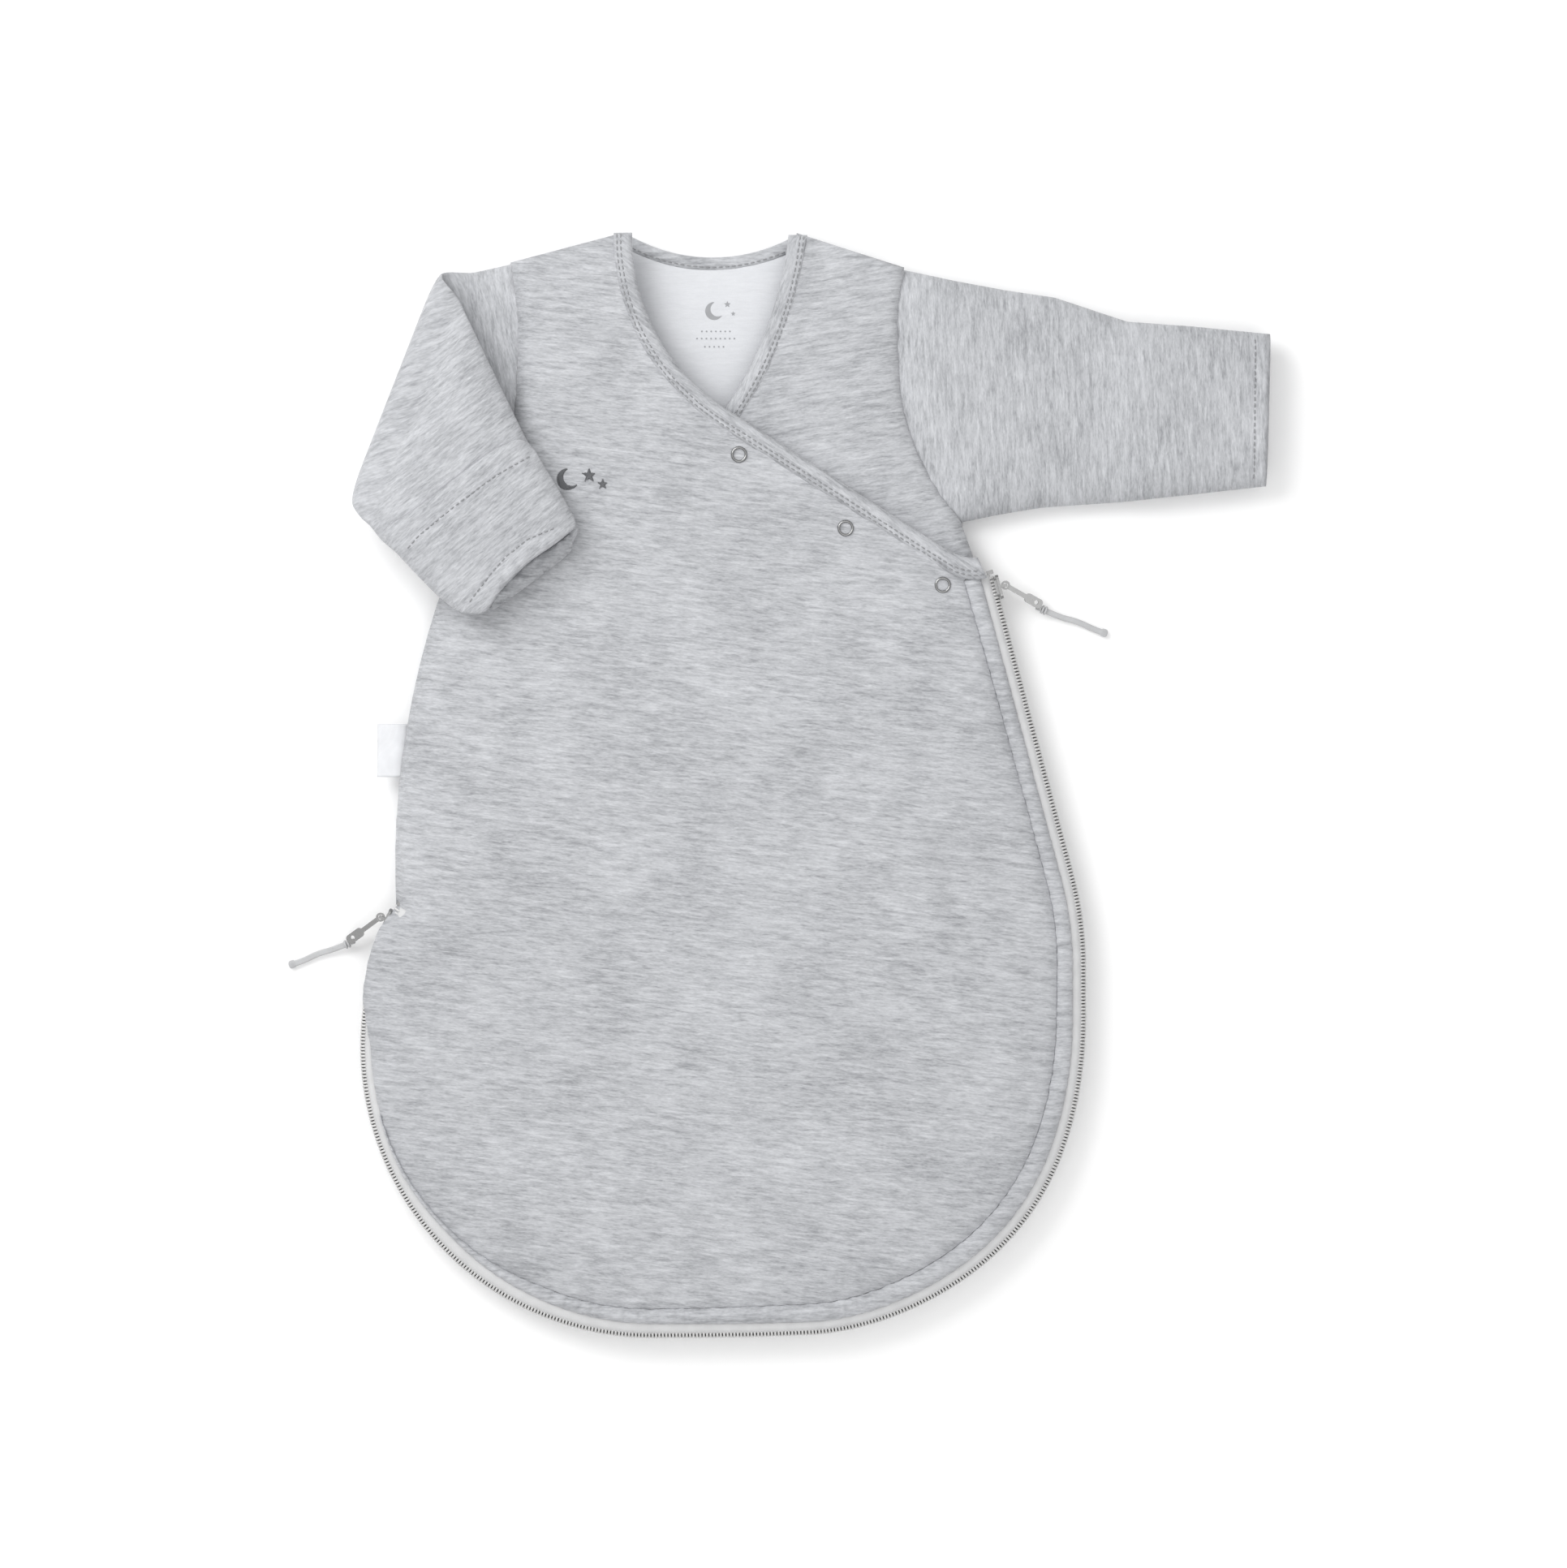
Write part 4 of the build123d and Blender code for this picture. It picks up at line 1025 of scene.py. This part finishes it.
def smoothLine(points, step=2.0):  # a soft closed outline through listed corners
    line = np.array(points, float)
    for _ in range(2):
        after = np.roll(line, -1, 0)
        line = np.stack([line * 0.85 + after * 0.15, line * 0.15 + after * 0.85], 1).reshape(-1, 2)
    line = np.concatenate([line, line[:1]])
    return resample(line, int(lengths(line)[-1] / step))[:-1]


def leftForearmTop(points):
    sides = [np.array(leftFoldedTop[1:]), np.array(leftFoldedLow[1:])]
    gap = np.minimum(nearest(points, sides[0])[0], nearest(points, sides[1])[0])
    swell = np.sqrt(np.clip(1 - (1 - np.clip(gap / sleeveShape["reach"], 0, 1)) ** 2, 0, 1))
    return mittShape["forearmMid"] + (mittShape["forearmTop"] - mittShape["forearmMid"]) * swell


cuffLine = np.array([(-84.5, 130.0), (-98.8, 124.0), (-110.0, 115.0), (-118.5, 105.2), (-129.2, 90.8)])
leftMittFree = np.array([(-104.5, 174.8), (-115, 169.6), (-130, 158.9), (-147, 145.4), (-159.6, 136.5),
                         (-170.6, 130)])


def leftMittHeights(points):
    freeGap, freeAlong = nearest(points, leftMittFree)
    z = leftForearmTop(points) + 0.5 + mittShape["thick"] - 0.7 * roundOff(freeGap, 3)
    hemGap, hemAlong = nearest(points, cuffLine)
    z = z + pucker(np.abs(freeGap - 7.5), freeAlong, 8, 0.9, 7, 61) - 0.9 * np.exp(-(((freeGap - 7.5) / 1.3) ** 2))
    z = z + pucker(hemGap, hemAlong, 7, 0.8, 9, 64) - 1.0 * np.exp(-((hemGap / 1.4) ** 2))
    z = z + 0.7 * ripple(points, 20, 62) + fold(points, (-143, 137), (-131, 133), 3, 1.6)
    return z + fold(points, (-118, 128), (-100, 140), 5, 1.4) - fold(points, (-122, 118), (-108, 132), 4, 1.1)


leftMitt = panel("leftMitt", smoothLine(leftMittLine), leftMittHeights, lambda p: leftForearmTop(p) + 0.25,
                 mittShape["spacing"])
setKnit(leftMitt, 40)
rightMittLine = [(219.2, 150.5), (250, 151.8), (278.5, 154.5), (280.5, 190), (281.2, 228.5), (250, 231.5),
                 (219.5, 233)]


def rightMittUnder(points):
    gap, along = nearest(points, np.array([(219.2, 150.5), (219.5, 233)]))
    return 0.15 + 0.5 * roundOff(gap, 4) + 0.25 * (1 + ripple(points, 18, 63))


rightMitt = panel("rightMitt", smoothLine(rightMittLine), level(mittShape["rightTop"]), rightMittUnder,
                  mittShape["spacing"])
setKnit(rightMitt, 92)
dress(leftMitt, marl, "left_mitt_body", "jersey", "left_mitt")
dress(rightMitt, marl, "right_mitt_body", "jersey", "right_mitt")

# Side label: a folded satin loop in the seam
labelShape = dict(left=-177.4, low=3.2, high=30.4)
labelProfile = [(0.0, 12.6), (0.25, 13.0), (1.0, 13.15), (8.0, 13.2), (16.5, 13.1), (16.5, 12.2), (8.0, 12.15),
                (1.0, 12.1), (0.25, 12.2)]


def labelWave(grid, along, way):
    for j in range(grid.shape[1]):
        share = 1 - (grid[:, j, 0] + 177.5) / 17
        grid[:, j, 2] += share * (0.9 * np.sin(along / 6.5 + 0.6) - 1.6)
        grid[:, j, 0] += 0.25 * np.sin(along / 9.0)
    return grid


def labelEdge(n):
    x = labelShape["left"] + n
    return lineRun((x, labelShape["low"]), (x, labelShape["high"]), 24)


sideLabel = loft("sideLabel", labelEdge, labelProfile, labelWave)
setKnit(sideLabel, 90)
dress(sideLabel, labelSatin, "bag", "label", "side_label")


# Turned metal rings of the snaps
def turned(name, spots, profile, around=40):
    verts, faces = [], []
    for x, y, z in spots:
        first = len(verts)
        size = len(profile)
        for k in range(around):
            a = 2 * math.pi * k / around
            verts += [(x + r * math.cos(a), y + r * math.sin(a), z + h) for r, h in profile]
        for k in range(around):
            m = (k + 1) % around
            for j in range(size):
                i = (j + 1) % size
                faces.append((first + k * size + j, first + m * size + j, first + m * size + i, first + k * size + i))
    piece = makeMesh(name, verts, faces)
    turnOut(piece)
    return piece


def seatHeight(x, y, reach=3.6, lift=0.15):
    return float(frontHeights(np.array([(x, y), (x + reach, y), (x, y + reach)])).mean()) + lift


ringProfile = [(2.85, 0.1), (2.92, 0.6), (3.12, 0.95), (3.45, 1.12), (3.8, 1.0), (4.1, 0.65), (4.25, 0.15),
               (4.15, -0.3), (3.5, -0.45), (2.95, -0.3)]
snapSeats = [(x, y, seatHeight(x, y)) for x, y in snapSpots]
flapRings = turned("flapSnapRings", snapSeats[:2], ringProfile)
frontRing = turned("frontSnapRing", snapSeats[2:], ringProfile)
dress(flapRings, snapMetal, "flap", "snap_metal", "flap_snap_caps")
dress(frontRing, snapMetal, "bag", "snap_metal", "front_snap_cap")


# Sewn and embroidered threads
def threads(name, runs, radius, sides=5):  # each run is a list of points; one small tube for each
    verts, faces = [], []
    for run in runs:
        run = np.array(run, float)
        first = len(verts)
        count = len(run)
        for i, (p, t) in enumerate(zip(run, ways(run))):
            side = np.cross(t, (0, 0, 1.0))
            side /= max(np.linalg.norm(side), 1e-9)
            up = np.cross(side, t)
            r = radius * (0.45 if i in (0, count - 1) else 1.0)
            for k in range(sides):
                a = 2 * math.pi * (k + 0.5) / sides
                verts.append(p + side * r * math.cos(a) + up * r * math.sin(a))
        faces += ringFaces(count, sides, first)
    piece = makeMesh(name, verts, faces)
    turnOut(piece)
    return piece


def satinFill(outline, angle, pitch):  # parallel stitches across a flat shape
    turn = math.radians(angle)
    way, side = np.array([math.cos(turn), math.sin(turn)]), np.array([-math.sin(turn), math.cos(turn)])
    outline = np.array(outline)
    s, t = outline @ side, outline @ way
    spans = []
    for level in np.arange(s.min() + pitch / 2, s.max(), pitch):
        cuts = []
        for i in range(len(outline)):
            j = (i + 1) % len(outline)
            if (s[i] > level) != (s[j] > level):
                cuts.append(t[i] + (t[j] - t[i]) * (level - s[i]) / (s[j] - s[i]))
        cuts.sort()
        for low, high in zip(cuts[::2], cuts[1::2]):
            spans.append((way * (low - 0.15) + side * level, way * (high + 0.15) + side * level))
    return spans


def moonOutline(x, y, r, bite=0.84, push=(0.42, 0.22)):
    outer = [polar((x, y), r, a) for a in range(0, 360, 6)]
    hole = (x + r * push[0], y + r * push[1])
    shape = [p for p in outer if math.dist(p, hole) > r * bite]
    start = max(range(len(shape)), key=lambda i: math.dist(shape[i - 1], shape[i]))
    shape = shape[start:] + shape[:start]
    a0 = math.degrees(math.atan2(shape[-1][1] - hole[1], shape[-1][0] - hole[0]))
    a1 = math.degrees(math.atan2(shape[0][1] - hole[1], shape[0][0] - hole[0]))
    while a1 > a0:
        a1 -= 360
    return shape + [polar(hole, r * bite, a) for a in np.linspace(a0, a1, 24)[1:-1]]


def starOutline(x, y, r, turn=90):
    return [polar((x, y), r if k % 2 == 0 else r * 0.46, turn + 36 * k) for k in range(10)]


motif = dict(moon=(-79, 155.5, 5.5), stars=[(-68, 157.5, 3.6), (-61, 153, 2.6)], pitch=0.42, thread=0.27)


def embroider():
    runs = []
    shapes = [(moonOutline(*motif["moon"]), -30)] + [(starOutline(*s), 20) for s in motif["stars"]]
    for outline, angle in shapes:
        for p, q in satinFill(outline, angle, motif["pitch"]):
            line = lineRun(p, q, 4)
            z = frontHeights(line) + np.array([0.0, 0.28, 0.36, 0.28, 0.0])
            runs.append(np.column_stack([line, z]))
    return threads("chestMotif", runs, motif["thread"])


chestMotif = embroider()
setKnit(chestMotif, -30)
dress(chestMotif, threadDark, "bag", "thread", "chest_embroidery")


# Printed mark inside the neck
markShape = dict(moon=(-4.2, 243.0, 4.6), stars=[(2.6, 246.4, 1.7), (5.6, 241.6, 1.2)],
                 lines=[(232.5, 7.5), (228.8, 10.0), (224.6, 6.0)], thick=0.9, rise=0.14)


def neckMark():
    outlines = [moonOutline(*markShape["moon"])] + [starOutline(*s) for s in markShape["stars"]]
    for y, half in markShape["lines"]:
        for x in np.arange(-4.2 - half, -4.2 + half, 2.4):
            outlines.append([polar((x + 1.2, y), markShape["thick"] / 2, a) for a in range(0, 360, 30)])
    verts, faces = [], []
    for outline in outlines:
        flat, filled = fillOutline(np.array(outline), 1.5)
        if sum(np.cross(flat[f[1]] - flat[f[0]], flat[f[2]] - flat[f[0]]) for f in filled) < 0:
            filled = [tuple(reversed(f)) for f in filled]
        base = linerTop(flat)
        first, count = len(verts), len(flat)
        verts += list(np.column_stack([flat, base + markShape["rise"]])) + list(np.column_stack([flat, base - 0.1]))
        faces += [tuple(first + i for i in f) for f in filled]
        faces += [tuple(first + count + i for i in reversed(f)) for f in filled]
        faces += [(first + b, first + a, first + a + count, first + b + count) for a, b in boundaryEdges(filled)]
    return makeMesh("neckMark", verts, faces, False)


neckPrint = neckMark()
setKnit(neckPrint, 0)
dress(neckPrint, printInk, "bag", "lining")


def surfaceAt(piece):  # heights on a finished mesh, seen from above
    tree = BVHTree.FromPolygons([v.co for v in piece.data.vertices], [tuple(p.vertices) for p in piece.data.polygons])

    def height(points):
        found = []
        for x, y in points:
            hit = tree.ray_cast(Vector((x * mm, y * mm, 0.2)), Vector((0, 0, -1)))
            found.append(hit[0].z / mm if hit[0] else None)
        return found
    return height


stitch = dict(length=2.2, gap=1.1, thread=0.3, sink=0.08)


def stitchRuns(line, height):
    line = np.array(line, float)
    along = lengths(line)
    runs = []
    for start in np.arange(0.8, along[-1] - stitch["length"], stitch["length"] + stitch["gap"]):
        stops = start + stitch["length"] * np.array([0, 0.2, 0.5, 0.8, 1.0])
        flat = np.stack([np.interp(stops, along, line[:, k]) for k in (0, 1)], 1)
        z = height(flat)
        if any(v is None for v in z):
            continue
        z = np.array(z) + stitch["thread"] - stitch["sink"] + np.array([-0.35, 0, 0.05, 0, -0.35])
        runs.append(np.column_stack([flat, z]))
    return runs


flapTurn = dict(before=-9.0, after=3.0, ends=20.0)


def flapShare(points):  # how far each flat place follows the folding corner of the wrap
    turn = math.radians(flap["angle"])
    rel = np.array(points) - np.array(flap["corner"])
    u = rel @ np.array([math.cos(turn), -math.sin(turn)])
    v = rel @ np.array([math.sin(turn), math.cos(turn)])
    across = smoothly((v - flapTurn["before"]) / (flapTurn["after"] - flapTurn["before"]))
    return across * smoothly(u / flapTurn["ends"]) * smoothly((flap["length"] - u) / flapTurn["ends"])


def bend(piece, share):
    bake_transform(piece)


def flatSpots(piece):
    return np.array([v.co[:2] for v in piece.data.vertices]) / mm


onBinding = surfaceAt(wrapBinding)
wrapStitches = threads("wrapStitches", stitchRuns(wrapLine(wide - 1.7, 110, 90), onBinding)
                       + stitchRuns(wrapLine(wide - 3.6, 110, 90), onBinding), stitch["thread"])
onUnder, onNeck = surfaceAt(underBinding), surfaceAt(backNeckBinding)
neckStitches = threads("neckStitches", stitchRuns(underRun(thin - 1.7), onUnder)
                       + stitchRuns(underRun(thin - 3.6), onUnder)
                       + stitchRuns(offsetRun(neckRun, 5.4), onNeck), stitch["thread"])
onRight = surfaceAt(rightSleeve)
hemLine = lineRun((272.8, 155.5), (273.6, 229.3), 40)
rightHem = threads("rightHemStitches", stitchRuns(hemLine, onRight), stitch["thread"])
onLeft, onMitt = surfaceAt(leftSleeve), surfaceAt(leftMitt)
mouth = dict(lips=[(-76.5, 128.0), (-83.5, 122.6), (-99.0, 112.6), (-113.0, 98.4), (-118.0, 90.6), (-117.0, 88.4),
                   (-101.6, 99.4), (-82.0, 114.2), (-76.4, 119.6)], crinkle=1.3, grain=2.6, lift=0.5)


def mouthHeights(points):
    low = np.array([h if h is not None else 27.0 for h in onLeft(points)])
    fine = np.array([noise.noise(Vector((x / mouth["grain"], y / mouth["grain"], 7.5))) for x, y in points])
    return low + mouth["lift"] + mouth["crinkle"] * np.abs(fine) * 2


cuffLining = panel("cuffLining", smoothLine(mouth["lips"], 1.2), mouthHeights, lambda p: mouthHeights(p) - 0.5, 1.2)
setKnit(cuffLining, 0)
dress(cuffLining, marl, "left_forearm", "jersey")
mittLine = np.array([(-97.1, 166.7), (-115, 156.3), (-134.2, 142.1), (-154, 126), (-160, 119.2)])
mittHem = threads("mittHemStitches", stitchRuns(mittLine, onMitt), stitch["thread"])
cuffHem = threads("cuffHemStitches", stitchRuns(cuffLine, onMitt), stitch["thread"])
for piece, body in ((wrapStitches, None), (neckStitches, "bag"), (rightHem, "right_forearm"),
                    (mittHem, "left_mitt_body"), (cuffHem, "left_mitt_body")):
    setKnit(piece, 0)
    dress(piece, stitchThread, body, "thread")
print("trims made")

# Cloth that crosses a joint: each piece's transform is baked into its mesh
for piece in (frontPanel, wrapBinding, wrapStitches):
    bend(piece, flapShare(flatSpots(piece)))
bend(leftSleeve, leftShare)
bend(rightSleeve, smoothly((flatSpots(rightSleeve)[:, 0] - rightCrease + 12) / 24))

# Pull cords: doubled flat braid, hitched to the tab and fused at the end
cordShape = dict(width=3.0, half=1.5, tall=0.85, groove=0.32)
cordRoutes = dict(
    top=[(0.1646, 0.0896, 0.0036), (0.1735, 0.0856, 0.0024), (0.1830, 0.0834, 0.0018), (0.1915, 0.0792, 0.0016),
         (0.1970, 0.0774, 0.0016)],
    lower=[(-0.1922, -0.0823, 0.0035), (-0.2000, -0.0856, 0.0024), (-0.2086, -0.0878, 0.0018),
           (-0.2168, -0.0920, 0.0016), (-0.2220, -0.0934, 0.0016)],
)


def routeLine(name, points):
    curve = bpy.data.curves.new(name, "CURVE")
    curve.dimensions = "3D"
    curve.resolution_u = 12
    spline = curve.splines.new("NURBS")
    spline.points.add(len(points) - 1)
    for place, point in zip(spline.points, points):
        place.co = (*point, 1)
    spline.order_u = 3
    spline.use_endpoint_u = True
    holder = bpy.data.objects.new(name, curve)
    bpy.context.scene.collection.objects.link(holder)
    mesh = bpy.data.meshes.new_from_object(holder)
    line = np.array([v.co for v in mesh.vertices])
    bpy.data.objects.remove(holder)
    return line


def braidTube(name, line, sizes, around=20):  # a flat two-strand section along the line, in metres
    line = resample(line, 70)
    way = ways(line)
    verts = []
    for i, (p, t) in enumerate(zip(line, way)):
        side = np.cross(t, (0, 0, 1.0))
        side /= np.linalg.norm(side)
        up = np.cross(side, t)
        half, tall, groove = sizes(i / (len(line) - 1))
        for k in range(around):
            a = 2 * math.pi * k / around
            c, s = math.cos(a), math.sin(a)
            dip = 1 - groove * math.exp(-((c / 0.28) ** 2))
            knot = 1 + 0.07 * math.sin(i * 1.35 + (2.2 if c > 0 else 0)) * abs(s)
            verts.append((p + side * half * c * mm + up * tall * s * dip * knot * mm) / mm)
    piece = makeMesh(name, verts, ringFaces(len(line), around))
    turnOut(piece)
    return piece, line


def pullCord(side, body, cordNode):
    line = routeLine(side + "Route", cordRoutes[side])
    flat = (cordShape["half"], cordShape["tall"], cordShape["groove"])
    cord, path = braidTube(side + "PullCord", line, lambda t: flat)
    setKnit(cord, 0)
    dress(cord, cordKnit, body, "pull_cord", cordNode)
    last = (line[-1] - line[-4]) / np.linalg.norm(line[-1] - line[-4])

    def endSizes(t):
        full = math.sqrt(max(0.02, 1 - (2 * t - 1) ** 4))
        return 2.05 * full, full, 0.25 * t

    tail, _ = braidTube(side + "CordEnd", line[-1] + last * np.linspace(-0.0022, 0.0016, 12)[:, None], endSizes)
    setKnit(tail, 0)
    dress(tail, cordKnit, body, "pull_cord")
    start, way = line[0], (line[3] - line[0]) / np.linalg.norm(line[3] - line[0])
    sideways = np.cross(way, (0, 0, 1.0))
    sideways /= np.linalg.norm(sideways)
    lift = np.cross(sideways, way)
    wraps = []
    for shift in (0.0004, 0.0020):
        turn = np.linspace(0, 2 * math.pi, 19)
        c, s = np.cos(turn)[:, None], np.sin(turn)[:, None]
        wraps.append((start + way * shift + sideways * (1.75 * mm) * c + lift * (1.35 * mm) * s) / mm)
    for flip in (-1, 1):
        turn = np.linspace(-0.5 * math.pi, 0.5 * math.pi, 13)
        loop = start - way * (0.2 + 2.4 * np.cos(turn))[:, None] * mm + lift * (1.1 * np.sin(turn))[:, None] * mm
        wraps.append((loop + sideways * flip * 0.8 * mm) / mm)
    hitch = threads(side + "CordHitch", wraps, 0.62, 8)
    setKnit(hitch, 0)
    dress(hitch, cordKnit, body, "pull_cord")


pullCord("top", "top_pull", "top_pull_cord")
pullCord("lower", "lower_pull", "lower_pull_cord")
for material, names in ((zipMetal, ("top_slider", "lower_slider", "top_pull_tab", "lower_pull_tab", "zip_stops")),
                        (snapMetal, ("flap_snap_sockets", "front_snap_socket", "snap_studs", "stud_prong_rings"))):
    for name in names:
        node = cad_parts[name]
        node.data.materials.clear()
        node.data.materials.append(material)
print("cords and metal made")
